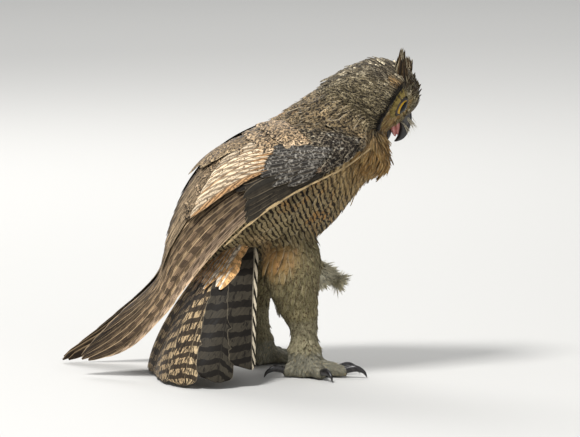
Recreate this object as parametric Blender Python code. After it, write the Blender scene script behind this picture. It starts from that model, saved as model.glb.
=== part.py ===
"""Great horned owl on the ground: it leans forward, wings drooped, tail spread, bill open.

Metres, +X the way the bird faces, +Y its left side, +Z up, and the floor is z = 0. Near the floor
every part that rests on it is cut flat at that level.
"""

import math
from dataclasses import dataclass

import bmesh
import bpy
from mathutils import Matrix, Vector

OWL = "great_horned_owl"

# Clearances
GAP = 0.0003  # between two parts that touch
SKIRT = 0.0005  # how far a cutter stands off its part, so that GAP is left on slanted faces

# Where the bird stands, so that the box of the whole bird is centred on the origin
STANCE_X = 0.0011
STANCE_Y = 0.0238

# Trunk and neck: one tapering body that runs from the tail root up to the skull
BODY_SIDES = 18
BODY_PITCH = 41.0  # lean of the trunk above the horizontal, degrees
NECK_PITCH = 38.0
CHEST_HIGH = 0.0655  # half of the depth from back to breast
CHEST_WIDE = 0.0700  # half of the width without the wings

# Head, in a frame of its own: +X out of the face, origin between the ears
HEAD_CENTRE = Vector((0.125, 0.0, 0.2667))
HEAD_PITCH = 27.0  # nose down, degrees
HEAD_YAW = -11.0  # turned towards the right side, degrees
HEAD_HIGH = 0.0408  # half heights and widths, out to the feathers
HEAD_WIDE = 0.0530
EYE_RADIUS = 0.0125
EYE_APART = 0.0260  # of each eye's centre from the middle plane
EYE_AHEAD = 0.0305
EYE_UP = 0.0225
TUFT_ROOT = (0.027, 0.0145, 0.0385)  # forward, off the middle plane, up
TUFT_TIPS = {"right": (0.0122, 0.0290, 0.0760), "left": (0.0136, 0.0380, 0.0610)}  # the left one is laid lower
TUFT_BOW = 0.0028  # how far each tuft curves forward
TUFT_WIDE = 0.0075

# Legs
LEG_APART = 0.046  # of each leg from the middle plane
LEFT_LEG_BACK = 0.048  # the left foot stands this far behind the right one
ANKLE_HEIGHT = 0.066
FOOT_TOP = 0.030
FOOT_AHEAD = 0.070
TOE_RADIUS = 0.0088
TOE_SINK = 0.0010  # how much of a toe the flat on the floor takes away
CLAW_LENGTH = 0.022
CLAW_RADIUS = 0.0034
LEG_RUN = 0.14  # from the hip down to the sole

# How far each toe is turned from straight ahead, outwards, in degrees, and its length
TOES = {
    "inner": (-16, 0.036),
    "middle": (12, 0.042),
    "outer": (62, 0.034),
    "hind": (162, 0.026),
}

# Wings
WING_SPAN_CELLS = 6  # quads across the wing in each plate
PLATE_SPLIT = 0.43  # where arm and flight feathers part, along the folded wing
PLATE_SEAM = 0.006  # left open there and between secondaries and primaries, as a share
SECONDARY_END = 0.80  # how far along the wing they reach
SCAPULAR_SPAN = (0.17, 0.545)
WING_RISE = (0.62, 0.84)  # where the secondaries end and the primaries take all the width
PRIMARY_TIPS = 5
TIP_STEPS_FROM = 0.70  # where the first primary ends, along the wing
TIP_STEP = 0.12  # depth of the step that each primary's tip makes in the edge
SCAPULAR_RISE = 0.0045  # of the outer face above the wing
SCAPULAR_THICK = 0.0035
SCAPULAR_PERCH = 0.012  # how far the left scapulars' tip stands off further

# Tail
TAIL_ROOT = Vector((0.018, 0.0, 0.160))
TAIL_FEATHERS = 12
TAIL_SWING = 18.0  # of the fan's middle towards the right side, degrees
TAIL_HALF_SPREAD = 72.0  # round the vertical, degrees
TAIL_REACH_BACK = 0.107  # of the tips from the root, along the floor
TAIL_REACH_SIDE = 0.147
TAIL_LOBE = 52.0  # where the fan reaches furthest, degrees off its middle
TAIL_THICK = 0.0022
TAIL_START = 0.22  # where the fan comes out of the rump, along its feathers
TAIL_LAP = 0.0012  # rise from one edge of a feather to the other
TIP_ROUND = 0.085  # how much shorter a feather is at its edges than at its shaft

# The solver for shallow cuts along a rounded side, where the exact one loses the part
SOFT_CUT = "MANIFOLD"

RIGHT, LEFT = -1, 1
SIDES = {RIGHT: "right", LEFT: "left"}


@dataclass(frozen=True)
class Coat:
    """Colour and surface of one kind of part."""

    name: str
    colour: tuple
    roughness: float = 0.9


BARRED = Coat("barred_buff_plumage", (0.42, 0.33, 0.20))
MOTTLED = Coat("mottled_brown_plumage", (0.20, 0.15, 0.10))
CROWN = Coat("grey_brown_head_plumage", (0.22, 0.19, 0.14))
FLIGHT = Coat("brown_flight_feathers", (0.16, 0.11, 0.07), 0.7)
LEG_DOWN = Coat("buff_leg_down", (0.50, 0.42, 0.28))
FOOT_DOWN = Coat("cream_foot_down", (0.66, 0.60, 0.48))
BILL_HORN = Coat("black_bill_horn", (0.03, 0.03, 0.03), 0.35)
CLAW_HORN = Coat("black_claw_horn", (0.02, 0.02, 0.02), 0.3)
EYE_GLASS = Coat("yellow_eye", (0.75, 0.50, 0.05), 0.05)
TONGUE_FLESH = Coat("pink_tongue", (0.62, 0.28, 0.25), 0.4)


@dataclass(frozen=True)
class Ring:
    """A cross-section of a tapering body: centre, pitch of the run, half sizes."""

    x: float
    z: float
    pitch: float
    high: float
    wide: float
    y: float = 0.0


@dataclass(frozen=True)
class Rib:
    """A line across the folded wing, from its leading edge up to its inner edge."""

    lower: tuple
    upper: tuple
    bulge: float
    thick: float


# ---------------------------------------------------------------- helpers


def new_collection(name, parent):
    """Makes a collection and links it under `parent`."""
    made = bpy.data.collections.new(name)
    parent.children.link(made)
    return made


def make_material(coat):
    """A Principled material for the coat, made once and then shared by name."""
    found = bpy.data.materials.get(coat.name)
    if found:
        return found
    material = bpy.data.materials.new(coat.name)
    material.use_nodes = True
    shader = material.node_tree.nodes["Principled BSDF"]
    shader.inputs["Base Color"].default_value = (*coat.colour, 1.0)
    shader.inputs["Roughness"].default_value = coat.roughness
    shader.inputs["Metallic"].default_value = 0.0
    return material


def spline(knots, t):
    """Catmull-Rom value at t in 0..1 through equally spaced knots, each a list of floats."""
    place = min(max(t, 0.0), 1.0) * (len(knots) - 1)
    i = min(int(place), len(knots) - 2)
    u = place - i
    before = knots[max(i - 1, 0)]
    after = knots[min(i + 2, len(knots) - 1)]
    values = []
    for a, b, c, d in zip(before, knots[i], knots[i + 1], after):
        m0 = (c - a) / 2
        m1 = (d - b) / 2
        h00 = (1 + 2 * u) * (1 - u) ** 2
        h10 = u * (1 - u) ** 2
        h01 = u * u * (3 - 2 * u)
        h11 = u * u * (u - 1)
        values.append(h00 * b + h10 * m0 + h01 * c + h11 * m1)
    return values


def ring_points(ring, sides):
    """Points round one cross-section, anticlockwise as seen from in front."""
    x, z, pitch, high, wide, y = ring
    angle = math.radians(pitch)
    up = Vector((-math.sin(angle), 0, math.cos(angle)))
    centre = Vector((x, y, z))
    turns = (2 * math.pi * k / sides for k in range(sides))
    return [centre + Vector((0, wide * math.cos(a), 0)) + up * high * math.sin(a) for a in turns]


def loft_mesh(name, rings, samples, sides, start=0.0, end=1.0):
    """A closed body through the rings, between `start` and `end` of its run, with flat ends."""
    knots = [[r.x, r.z, r.pitch, r.high, r.wide, r.y] for r in rings]
    work = bmesh.new()
    loops = []
    for k in range(samples + 1):
        ring = spline(knots, start + (end - start) * k / samples)
        loops.append([work.verts.new(p) for p in ring_points(ring, sides)])
    for near, far in zip(loops, loops[1:]):
        for k in range(sides):
            after = (k + 1) % sides
            work.faces.new((near[k], near[after], far[after], far[k]))
    work.faces.new(loops[0])
    work.faces.new(loops[-1])
    return finish_mesh(name, work)


def plate_mesh(name, outer, inner):
    """A closed slab between two grids of points of the same size."""
    work = bmesh.new()
    skins = [[[work.verts.new(p) for p in row] for row in grid] for grid in (outer, inner)]
    rows, columns = len(outer), len(outer[0])
    for grid in skins:
        for i in range(rows - 1):
            for j in range(columns - 1):
                corners = grid[i][j], grid[i][j + 1], grid[i + 1][j + 1], grid[i + 1][j]
                work.faces.new(corners)
    rim = [(0, j) for j in range(columns)]
    rim += [(i, columns - 1) for i in range(1, rows)]
    rim += [(rows - 1, j) for j in range(columns - 2, -1, -1)]
    rim += [(i, 0) for i in range(rows - 2, 0, -1)]
    for (i, j), (m, n) in zip(rim, rim[1:] + rim[:1]):
        work.faces.new((skins[0][i][j], skins[0][m][n], skins[1][m][n], skins[1][i][j]))
    return finish_mesh(name, work)


def finish_mesh(name, work):
    """Turns the faces outwards and hands the bmesh over as a smooth-shaded mesh."""
    bmesh.ops.triangulate(work, faces=[f for f in work.faces if len(f.verts) > 4])
    bmesh.ops.recalc_face_normals(work, faces=work.faces)
    mesh = bpy.data.meshes.new(name)
    work.to_mesh(mesh)
    work.free()
    mesh.shade_smooth()
    mesh.set_sharp_from_angle(angle=math.radians(50))
    return mesh


class Bird:
    """The collections, the stance empty and the ways to add, join and cut parts."""

    def __init__(self):
        scene = bpy.context.scene
        self.parts = new_collection(OWL, scene.collection)
        self.cutters = new_collection("cutters", scene.collection)
        self.stance = bpy.data.objects.new("stance", None)
        self.stance.location = (STANCE_X, STANCE_Y, 0)
        self.parts.objects.link(self.stance)
        self.head_frame = bpy.data.objects.new("head_frame", None)
        self.head_frame.location = HEAD_CENTRE
        self.head_frame.rotation_euler = (0, math.radians(HEAD_PITCH), math.radians(HEAD_YAW))
        self.head_frame.parent = self.stance
        self.parts.objects.link(self.head_frame)
        self.floor = self.add_floor()

    def add(self, name, mesh, coat, frame=None):
        """Adds a part in the stance's frame, or in another empty's."""
        part = bpy.data.objects.new(name, mesh)
        mesh.materials.append(make_material(coat))
        part.parent = frame or self.stance
        self.parts.objects.link(part)
        return part

    def add_cutter(self, name, mesh, frame=None):
        """Adds a shape that only cuts or joins, and is no part itself."""
        cutter = bpy.data.objects.new(name, mesh)
        cutter.parent = frame or self.stance
        cutter.hide_render = True
        cutter.display_type = "WIRE"
        self.cutters.objects.link(cutter)
        return cutter

    def add_floor(self):
        """The block under z = 0 that cuts the flats the bird rests on."""
        work = bmesh.new()
        bmesh.ops.create_cube(work, size=1.0)
        bmesh.ops.translate(work, verts=work.verts, vec=(0, 0, -0.5))
        return self.add_cutter("floor_block", finish_mesh("floor_block", work))

    def skirt(self, part):
        """A copy of a part's own mesh that stands off it by SKIRT."""
        work = bmesh.new()
        work.from_mesh(part.data)
        work.normal_update()
        moves = [(v, v.normal.copy()) for v in work.verts]
        for vertex, normal in moves:
            vertex.co += normal * SKIRT
        mesh = bpy.data.meshes.new(part.name + "_skirt")
        work.to_mesh(mesh)
        work.free()
        cutter = self.add_cutter(part.name + "_skirt", mesh, part.parent)
        cutter.location = part.location
        cutter.rotation_euler = part.rotation_euler
        return cutter

    def boolean(self, part, tool, operation="DIFFERENCE", solver="EXACT"):
        """Cuts or joins a part with a tool object."""
        cut = part.modifiers.new(tool.name, "BOOLEAN")
        cut.operation = operation
        cut.solver = solver
        cut.object = tool

    def carve(self, part, *neighbours, solver="EXACT"):
        """Takes the neighbours out of a part, each with its clearance."""
        for neighbour in neighbours:
            found = bpy.data.objects.get(neighbour.name + "_skirt")
            self.boolean(part, found or self.skirt(neighbour), solver=solver)


# ---------------------------------------------------------------- trunk, neck and rump


def body_rings():
    """The rings of the whole body, evenly spaced from the tail root to inside the head."""
    return (
        Ring(-0.034, 0.098, 66, 0.019, 0.027),
        Ring(-0.021, 0.122, 56, 0.034, 0.039),
        Ring(-0.004, 0.144, 47, 0.048, 0.052),
        Ring(0.018, 0.166, 42, 0.060, 0.064),
        Ring(0.045, 0.188, BODY_PITCH, CHEST_HIGH, CHEST_WIDE),
        Ring(0.073, 0.210, BODY_PITCH, 0.059, 0.067),
        Ring(0.0975, 0.233, BODY_PITCH, 0.054, 0.057),
        Ring(0.119, 0.2450, NECK_PITCH, 0.0565, 0.054),
        Ring(0.128, 0.268, 34, 0.040, 0.047),
        Ring(0.132, 0.274, 33, 0.026, 0.030),
    )


def build_body(bird):
    """Rump, trunk and neck: one form, parted by two thin cuts across it."""
    rings = body_rings()
    last = len(rings) - 1
    run = sum(math.dist((a.x, a.z), (b.x, b.z)) for a, b in zip(rings, rings[1:]))
    slit = GAP * 2 / run
    cuts = (2 / last, 6 / last)
    rump = bird.add("rump", loft_mesh("rump", rings, 4, BODY_SIDES, 0, cuts[0] - slit), BARRED)
    trunk = loft_mesh("trunk", rings, 9, BODY_SIDES, cuts[0], cuts[1] - slit)
    trunk = bird.add("trunk", trunk, BARRED)
    neck = bird.add("neck", loft_mesh("neck", rings, 6, BODY_SIDES, cuts[1], 1), MOTTLED)
    return rump, trunk, neck


# ---------------------------------------------------------------- head


def head_rings():
    """The skull out to its feathers, from the nape to the middle of the face."""
    return (
        Ring(-0.046, -0.006, 0, 0.006, 0.008),
        Ring(-0.040, -0.005, 0, 0.020, 0.026),
        Ring(-0.028, 0.000, 0, 0.032, 0.040),
        Ring(-0.012, 0.0084, 0, HEAD_HIGH, 0.049),
        Ring(0.006, 0.0134, 0, HEAD_HIGH, HEAD_WIDE),
        Ring(0.020, 0.0150, 0, 0.039, HEAD_WIDE),
        Ring(0.0295, 0.0157, 0, 0.0352, 0.0505),
        Ring(0.0315, 0.0165, 0, 0.0315, 0.046),
        Ring(0.0345, 0.0183, 0, 0.0268, 0.037),
        Ring(0.0405, 0.0210, 0, 0.020, 0.024),
        Ring(0.0460, 0.0230, 0, 0.0125, 0.012),
        Ring(0.0485, 0.0225, 0, 0.004, 0.004),
    )


def build_skull(bird):
    """The head with its dished face and the two eye sockets."""
    frame = bird.head_frame
    skull = bird.add("head", loft_mesh("head", head_rings(), 16, BODY_SIDES), CROWN, frame)
    eyes = []
    for side, word in SIDES.items():
        work = bmesh.new()
        bmesh.ops.create_uvsphere(work, u_segments=14, v_segments=8, radius=EYE_RADIUS)
        eye = bird.add("eye_" + word, finish_mesh("eye_" + word, work), EYE_GLASS, frame)
        eye.location = (EYE_AHEAD, side * EYE_APART, EYE_UP)
        bird.carve(skull, eye)
        eyes.append(eye)
    return skull, eyes


def build_tufts(bird, skull):
    """The two ear tufts: flat pointed blades that stand up behind the brows."""
    for side, word in SIDES.items():
        rings = []
        for share, pitch, high, wide in (
            (0.0, 114, TUFT_WIDE * 1.15, 0.0075),
            (0.35, 116, TUFT_WIDE, 0.0066),
            (0.68, 120, TUFT_WIDE * 0.70, 0.0046),
            (1.0, 126, 0.0008, 0.0008),
        ):
            x, y, z = (low + (high_end - low) * share for low, high_end in zip(TUFT_ROOT, TUFT_TIPS[word]))
            bow = TUFT_BOW * math.sin(math.pi * share)
            rings.append(Ring(x + bow, z, pitch, high, wide, side * y))
        name = "ear_tuft_" + word
        tuft = bird.add(name, loft_mesh(name, rings, 6, 10), CROWN, bird.head_frame)
        bird.carve(tuft, skull)


def build_bill(bird, skull, neck):
    """The open bill: a hooked upper half, a short lower half, and the tongue between."""
    frame = bird.head_frame
    upper = (
        Ring(0.0390, 0.0120, -48, 0.0100, 0.0075),
        Ring(0.0460, 0.0035, -70, 0.0080, 0.0062),
        Ring(0.0475, -0.0050, -88, 0.0055, 0.0045),
        Ring(0.0465, -0.0120, -104, 0.0028, 0.0022),
        Ring(0.0440, -0.0170, -118, 0.0006, 0.0005),
    )
    lower = (
        Ring(0.0270, 0.0020, -62, 0.0045, 0.0070),
        Ring(0.0330, -0.0070, -66, 0.0042, 0.0062),
        Ring(0.0365, -0.0140, -74, 0.0030, 0.0045),
        Ring(0.0380, -0.0195, -80, 0.0008, 0.0012),
    )
    tongue = (
        Ring(0.0330, 0.0020, -60, 0.0018, 0.0042),
        Ring(0.0385, -0.0070, -66, 0.0018, 0.0036),
        Ring(0.0410, -0.0130, -74, 0.0007, 0.0015),
    )
    made = {}
    for name, rings, coat, samples, sides in (
        ("bill_upper", upper, BILL_HORN, 9, 10),
        ("bill_lower", lower, BILL_HORN, 5, 10),
        ("tongue", tongue, TONGUE_FLESH, 4, 8),
    ):
        made[name] = bird.add(name, loft_mesh(name, rings, samples, sides), coat, frame)
        bird.carve(made[name], skull)
    bird.carve(made["bill_lower"], made["bill_upper"])
    bird.carve(made["tongue"], made["bill_upper"], made["bill_lower"])
    bird.carve(neck, skull, *made.values())
    return made


# ---------------------------------------------------------------- legs


def leg_rings(side):
    """Thigh and feathered shank of one leg, from the hip down to the foot."""
    back = LEFT_LEG_BACK if side == LEFT else 0.0
    hip_back = back * 0.55
    y = side * LEG_APART
    return (
        Ring(0.058 - hip_back, 0.158, -90, 0.016, 0.014, side * 0.030),
        Ring(0.055 - hip_back, 0.118, -90, 0.0315, 0.029, side * 0.042),
        Ring(0.056 - back * 0.75, 0.089, -90, 0.0275, 0.026, y),
        Ring(0.061 - back, ANKLE_HEIGHT, -90, 0.0215, 0.019, y),
        Ring(0.067 - back, 0.045, -90, 0.0142, 0.014, y),
        Ring(0.067 - back, FOOT_TOP, -90, 0.0165, 0.016, y),
        Ring(0.069 - back, 0.014, -90, 0.0185, 0.019, y),
    )


def toe_rings(length):
    """One toe along +X from the ball of the foot, arched over its joints."""
    high = TOE_RADIUS
    return (
        Ring(0.000, 0.0110, 0, high, high * 1.10),
        Ring(length * 0.40, 0.0105, -4, high, high * 1.05),
        Ring(length * 0.75, 0.0082, -8, high * 0.92, high),
        Ring(length, 0.0064, -14, high * 0.62, high * 0.66),
    )


def claw_rings(length):
    """A claw along +X from the end of its toe: a cone that curls down to the floor."""
    curl = CLAW_LENGTH
    return (
        Ring(length - 0.004, 0.0085, 8, CLAW_RADIUS, CLAW_RADIUS),
        Ring(length + curl * 0.30, 0.0098, -12, CLAW_RADIUS * 0.85, CLAW_RADIUS * 0.8),
        Ring(length + curl * 0.62, 0.0066, -42, CLAW_RADIUS * 0.5, CLAW_RADIUS * 0.5),
        Ring(length + curl * 0.74, 0.0012, -70, 0.0005, 0.0005),
    )


def turn_mesh(mesh, place, degrees):
    """Turns a mesh about the vertical and moves it to its place."""
    mesh.transform(Matrix.Translation(place) @ Matrix.Rotation(math.radians(degrees), 4, "Z"))
    return mesh


def build_foot(bird, side):
    """Foot with four feathered toes in one body, and a claw on each toe."""
    word = SIDES[side]
    back = LEFT_LEG_BACK if side == LEFT else 0.0
    place = Vector((FOOT_AHEAD - back, side * LEG_APART, -TOE_SINK))
    ball = leg_rings(side)[-2:]
    run = (Ring(ball[0].x, FOOT_TOP - GAP * 2, -90, 0.0180, 0.017, ball[0].y), ball[1])
    run += (Ring(ball[1].x, 0.0, -90, 0.0165, 0.0170, ball[1].y),)
    foot = bird.add("foot_" + word, loft_mesh("foot_" + word, run, 3, 14), FOOT_DOWN)
    for toe, (out, length) in TOES.items():
        turn = side * out
        mesh = loft_mesh(f"toe_{word}_{toe}", toe_rings(length), 4, 8)
        tool = bird.add_cutter(mesh.name, turn_mesh(mesh, place, turn))
        bird.boolean(foot, tool, "UNION", SOFT_CUT)
        name = f"claw_{word}_{toe}"
        mesh = turn_mesh(loft_mesh(name, claw_rings(length), 5, 6), place, turn)
        claw = bird.add(name, mesh, CLAW_HORN)
        bird.carve(claw, tool, solver=SOFT_CUT)
        bird.boolean(claw, bird.floor, solver=SOFT_CUT)
    bird.boolean(foot, bird.floor, solver=SOFT_CUT)
    return foot


def build_legs(bird, trunk, rump):
    """Both legs: thigh, shank, foot and claws, the left leg a little behind."""
    thighs = []
    for side, word in SIDES.items():
        rings = leg_rings(side)
        last = len(rings) - 1
        slit = GAP * 2 / LEG_RUN
        thigh = loft_mesh("thigh_" + word, rings, 7, 18, 0, 3 / last - slit)
        thigh = bird.add(thigh.name, thigh, LEG_DOWN)
        if side == LEFT:
            fluff = (
                Ring(0.052, 0.112, -8, 0.021, 0.019, 0.040),
                Ring(0.080, 0.098, -14, 0.019, 0.015, 0.040),
                Ring(0.099, 0.087, -20, 0.012, 0.010, 0.041),
                Ring(0.110, 0.080, -26, 0.0015, 0.0015, 0.042),
            )
            tool = bird.add_cutter("flank_fluff", loft_mesh("flank_fluff", fluff, 4, 10))
            bird.boolean(thigh, tool, "UNION", SOFT_CUT)
        bird.carve(thigh, trunk, rump, solver=SOFT_CUT)
        shank = loft_mesh("shank_" + word, rings, 4, 18, 3 / last, 5 / last)
        bird.add(shank.name, shank, LEG_DOWN)
        build_foot(bird, side)
        thighs.append(thigh)
    return thighs


# ---------------------------------------------------------------- wings


def wing_ribs(side):
    """The folded wing from the wrist to the tips, as ribs on the right side, then mirrored."""
    tip = (-0.146, -0.042, 0.0140), (-0.166, -0.032, 0.0180)
    late = (-0.109, -0.055, 0.0280), (-0.124, -0.026, 0.0560)
    if side == LEFT:
        tip = (-0.170, -0.056, 0.0015), (-0.187, -0.050, 0.0040)
        late = (-0.122, -0.064, 0.0210), (-0.134, -0.040, 0.0440)
    ribs = (
        Rib((0.133, -0.054, 0.2300), (0.124, -0.050, 0.2420), 0.004, 0.012),
        Rib((0.105, -0.078, 0.2120), (0.098, -0.050, 0.2500), 0.012, 0.018),
        Rib((0.068, -0.086, 0.1940), (0.054, -0.030, 0.2560), 0.015, 0.020),
        Rib((0.028, -0.088, 0.1700), (0.008, -0.015, 0.2400), 0.017, 0.015),
        Rib((-0.012, -0.086, 0.1350), (-0.031, -0.013, 0.2100), 0.015, 0.010),
        Rib((-0.047, -0.079, 0.0970), (-0.060, -0.013, 0.1600), 0.011, 0.007),
        Rib((-0.074, -0.070, 0.0640), (-0.079, -0.020, 0.0980), 0.006, 0.005),
        Rib(*late, 0.003, 0.004),
        Rib(*tip, 0.001, 0.003),
    )
    flip = Vector((1, -side, 1))
    return [
        Rib(tuple(Vector(r.lower) * flip), tuple(Vector(r.upper) * flip), r.bulge, r.thick)
        for r in ribs
    ]


def wing_point(knots, s, v, side):
    """Point, outward normal and thickness of the wing, s along it and v up across it."""
    values = spline(knots, s)
    lower, upper = Vector(values[0:3]), Vector(values[3:6])
    ahead = spline(knots, s - 0.02)
    behind = spline(knots, s + 0.02)
    run = Vector(ahead[0:3]) + Vector(ahead[3:6]) - Vector(behind[0:3]) - Vector(behind[3:6])
    across = upper - lower
    out = across.cross(run).normalized() * side
    bulge = values[6] * 4 * v * (1 - v)
    lean = run.normalized().cross(out) * side
    normal = (out - lean * (1 - 2 * v) * 4 * values[6] / across.length).normalized()
    return lower + across * v + out * bulge, normal, values[7]


def wing_plate(name, side, span, cells, width, depth):
    """A closed plate over part of the wing.

    `span` is its start and end along the wing, `width` gives the lower and upper v at each place
    along it, and `depth` the heights of its outer and inner face above the wing's surface.
    """
    knots = [[*r.lower, *r.upper, r.bulge, r.thick] for r in wing_ribs(side)]
    outer, inner = [], []
    for i in range(cells + 1):
        share = i / cells
        s = span[0] + (span[1] - span[0]) * share
        low, high = width(share, s)
        faces = [], []
        for j in range(WING_SPAN_CELLS + 1):
            across = j / WING_SPAN_CELLS
            point, normal, thick = wing_point(knots, s, low + (high - low) * across, side)
            for row, height in zip(faces, depth(share, across, thick)):
                row.append(point + normal * height)
        outer.append(faces[0])
        inner.append(faces[1])
    return plate_mesh(name, outer, inner)


def wing_depth(share, across, thick):
    """Faces of the wing itself: full thickness inside, thin at both long edges."""
    edge = min(1.0, 5 * across, 5 * (1 - across))
    return 0.0, -thick * (0.35 + 0.65 * edge)


def secondary_edge(s):
    """Where the secondaries meet the primaries across the wing, at s along it."""
    start, end = WING_RISE
    rise = min(max((s - start) / (end - start), 0.0), 1.0)
    return 0.40 + 0.56 * rise * rise * (3 - 2 * rise)


def primary_width(share, s):
    """Lower and upper edge of the primaries: a step for each tip along the lower edge."""
    notch = 0.0
    if s > TIP_STEPS_FROM:
        steps = (s - TIP_STEPS_FROM) / (1.0 - TIP_STEPS_FROM) * PRIMARY_TIPS
        notch = TIP_STEP * (1 - steps % 1.0)
    close = max(0.0, (s - 0.93) / 0.07)
    return notch + 0.28 * close, secondary_edge(s) - 0.28 * close


def scapular_width(share, s):
    """Leaf outline of the scapulars over the wing, pointed behind."""
    half = 0.012 + 0.21 * math.sin(math.pi * min(share * 0.9 + 0.12, 1.0)) ** 0.8
    middle = 0.74 + 0.04 * share
    return middle - half, middle + half


def build_wings(bird, solids):
    """Arm, secondaries, primaries and scapulars of both wings, cut clear of the body."""
    flight = PLATE_SPLIT + PLATE_SEAM
    for side, word in SIDES.items():
        perch = SCAPULAR_PERCH if side == LEFT else 0.0

        def over_wing(share, across, thick):
            """Faces of the scapulars, which stand highest at their tip on the left."""
            rise = SCAPULAR_RISE + perch * share * share
            return rise, rise - SCAPULAR_THICK

        plans = (
            ("wing", (0, PLATE_SPLIT), 8, lambda a, s: (0, 1), wing_depth, MOTTLED),
            (
                "secondaries",
                (flight, SECONDARY_END),
                7,
                lambda a, s: (secondary_edge(s) + 2 * PLATE_SEAM, 1.0),
                wing_depth,
                FLIGHT,
            ),
            ("primaries", (flight, 1.0), 14, primary_width, wing_depth, FLIGHT),
            ("scapulars", SCAPULAR_SPAN, 7, scapular_width, over_wing, MOTTLED),
        )
        made = {}
        for kind, span, cells, width, depth, coat in plans:
            name = f"{kind}_{word}"
            plate = bird.add(name, wing_plate(name, side, span, cells, width, depth), coat)
            bird.carve(plate, *solids, solver=SOFT_CUT)
            bird.boolean(plate, bird.floor, solver=SOFT_CUT)
            made[kind] = plate
        bird.carve(made["secondaries"], made["primaries"], solver=SOFT_CUT)


# ---------------------------------------------------------------- tail


def tail_reach(turn):
    """How far the tips lie from the root along the floor, `turn` degrees off the fan's middle."""
    side = math.sin(math.radians(max(turn, 0.0)) * 90 / TAIL_LOBE) ** 2
    reach = TAIL_REACH_BACK + (TAIL_REACH_SIDE - TAIL_REACH_BACK) * side
    outermost = max(0.0, (abs(turn) - TAIL_LOBE) / (TAIL_HALF_SPREAD - TAIL_LOBE))
    return reach * (1 - (0.19 if turn > 0 else 0.06) * outermost)


def tail_point(turn, along):
    """A point of the fan, `turn` degrees off its middle and `along` 0..1 from root to tip."""
    heading = math.radians(turn + TAIL_SWING)
    reach = tail_reach(turn) * (1 - (1 - along) ** 1.7)
    height = (TAIL_ROOT.z - 0.001) * (1 - along) ** 1.12
    height += 0.016 * max(0.0, (abs(turn) - TAIL_LOBE) / (TAIL_HALF_SPREAD - TAIL_LOBE)) * along
    flat = Vector((-math.cos(heading), -math.sin(heading), 0)) * reach
    return TAIL_ROOT + flat + Vector((0, 0, 0.001 + height - TAIL_ROOT.z))


def build_tail(bird, solids):
    """Twelve tail feathers in one spread fan: each laps over the next and ends round."""
    per_feather = 3
    columns = TAIL_FEATHERS * per_feather
    rows = 5
    outer, inner = [], []
    for i in range(rows + 1):
        top_row, bottom_row = [], []
        for j in range(columns + 1):
            turn = TAIL_HALF_SPREAD * (1 - 2 * j / columns)
            across = (j % per_feather) / per_feather * 2 - 1
            rounded = 1 - TIP_ROUND * (across**4 if j % per_feather else 1)
            along = TAIL_START + (rounded - TAIL_START) * i / rows
            ahead = tail_point(turn + 1, along) - tail_point(turn - 1, along)
            down = tail_point(turn, along) - tail_point(turn, along - 0.05)
            normal = down.cross(ahead).normalized()
            lap = TAIL_LAP * across
            point = tail_point(turn, along) + normal * lap
            top_row.append(point)
            bottom_row.append(point - normal * TAIL_THICK)
        outer.append(top_row)
        inner.append(bottom_row)
    fan = bird.add("tail_fan", plate_mesh("tail_fan", outer, inner), FLIGHT)
    bird.carve(fan, *solids)
    bird.boolean(fan, bird.floor)
    return fan


def clear_scene():
    """Removes whatever the file holds already."""
    for existing in list(bpy.data.objects):
        bpy.data.objects.remove(existing, do_unlink=True)


def main():
    """Builds the bird from the body outwards."""
    clear_scene()
    bird = Bird()
    rump, trunk, neck = build_body(bird)
    skull, _ = build_skull(bird)
    build_tufts(bird, skull)
    build_bill(bird, skull, neck)
    thighs = build_legs(bird, trunk, rump)
    fan = build_tail(bird, (rump, trunk, *thighs))
    build_wings(bird, (trunk, rump, neck, skull, fan, *thighs))


main()
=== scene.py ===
"""Great horned owl on the ground: one skin, its feathers, eyes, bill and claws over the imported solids.

Metres, +X the way the bird faces, +Y its left side, +Z up, and the floor is z = 0. Every place comes
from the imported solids' own boxes and meshes, plus lengths that belong to the bird.
"""

import itertools
import logging
from dataclasses import dataclass, field, replace
from enum import Enum
from math import copysign, cos, pi, radians, sin
from typing import ClassVar, Iterable, Optional

import bmesh
import bpy
import numpy as np
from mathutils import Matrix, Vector
from mathutils.bvhtree import BVHTree
from mathutils.kdtree import KDTree


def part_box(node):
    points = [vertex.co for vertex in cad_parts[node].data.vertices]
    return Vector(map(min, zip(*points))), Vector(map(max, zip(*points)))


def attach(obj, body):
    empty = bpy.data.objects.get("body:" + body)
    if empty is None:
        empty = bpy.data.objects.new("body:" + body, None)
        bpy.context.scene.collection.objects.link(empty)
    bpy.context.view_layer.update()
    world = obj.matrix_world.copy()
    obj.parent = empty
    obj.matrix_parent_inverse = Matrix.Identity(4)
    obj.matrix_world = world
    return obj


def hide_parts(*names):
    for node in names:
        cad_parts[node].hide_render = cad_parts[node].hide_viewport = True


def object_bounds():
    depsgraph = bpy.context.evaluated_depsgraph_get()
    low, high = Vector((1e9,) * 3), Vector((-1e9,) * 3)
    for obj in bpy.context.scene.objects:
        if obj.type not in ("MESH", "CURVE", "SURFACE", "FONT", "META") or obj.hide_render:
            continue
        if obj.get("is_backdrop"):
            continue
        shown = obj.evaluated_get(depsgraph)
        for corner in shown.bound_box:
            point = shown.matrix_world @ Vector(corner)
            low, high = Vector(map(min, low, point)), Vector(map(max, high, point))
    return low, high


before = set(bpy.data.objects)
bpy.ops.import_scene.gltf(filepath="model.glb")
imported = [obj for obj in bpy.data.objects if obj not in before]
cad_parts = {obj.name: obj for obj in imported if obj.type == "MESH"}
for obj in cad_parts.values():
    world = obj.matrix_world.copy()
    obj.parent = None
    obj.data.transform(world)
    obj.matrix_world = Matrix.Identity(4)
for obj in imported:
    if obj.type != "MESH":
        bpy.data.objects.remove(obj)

Array, Generator = np.ndarray, np.random.Generator
Material, Socket = bpy.types.Material, bpy.types.NodeSocket
Pair, Triple, Table = tuple[float, float], tuple[float, float, float], tuple[tuple[float, ...], ...]
log = logging.getLogger("owl")

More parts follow.
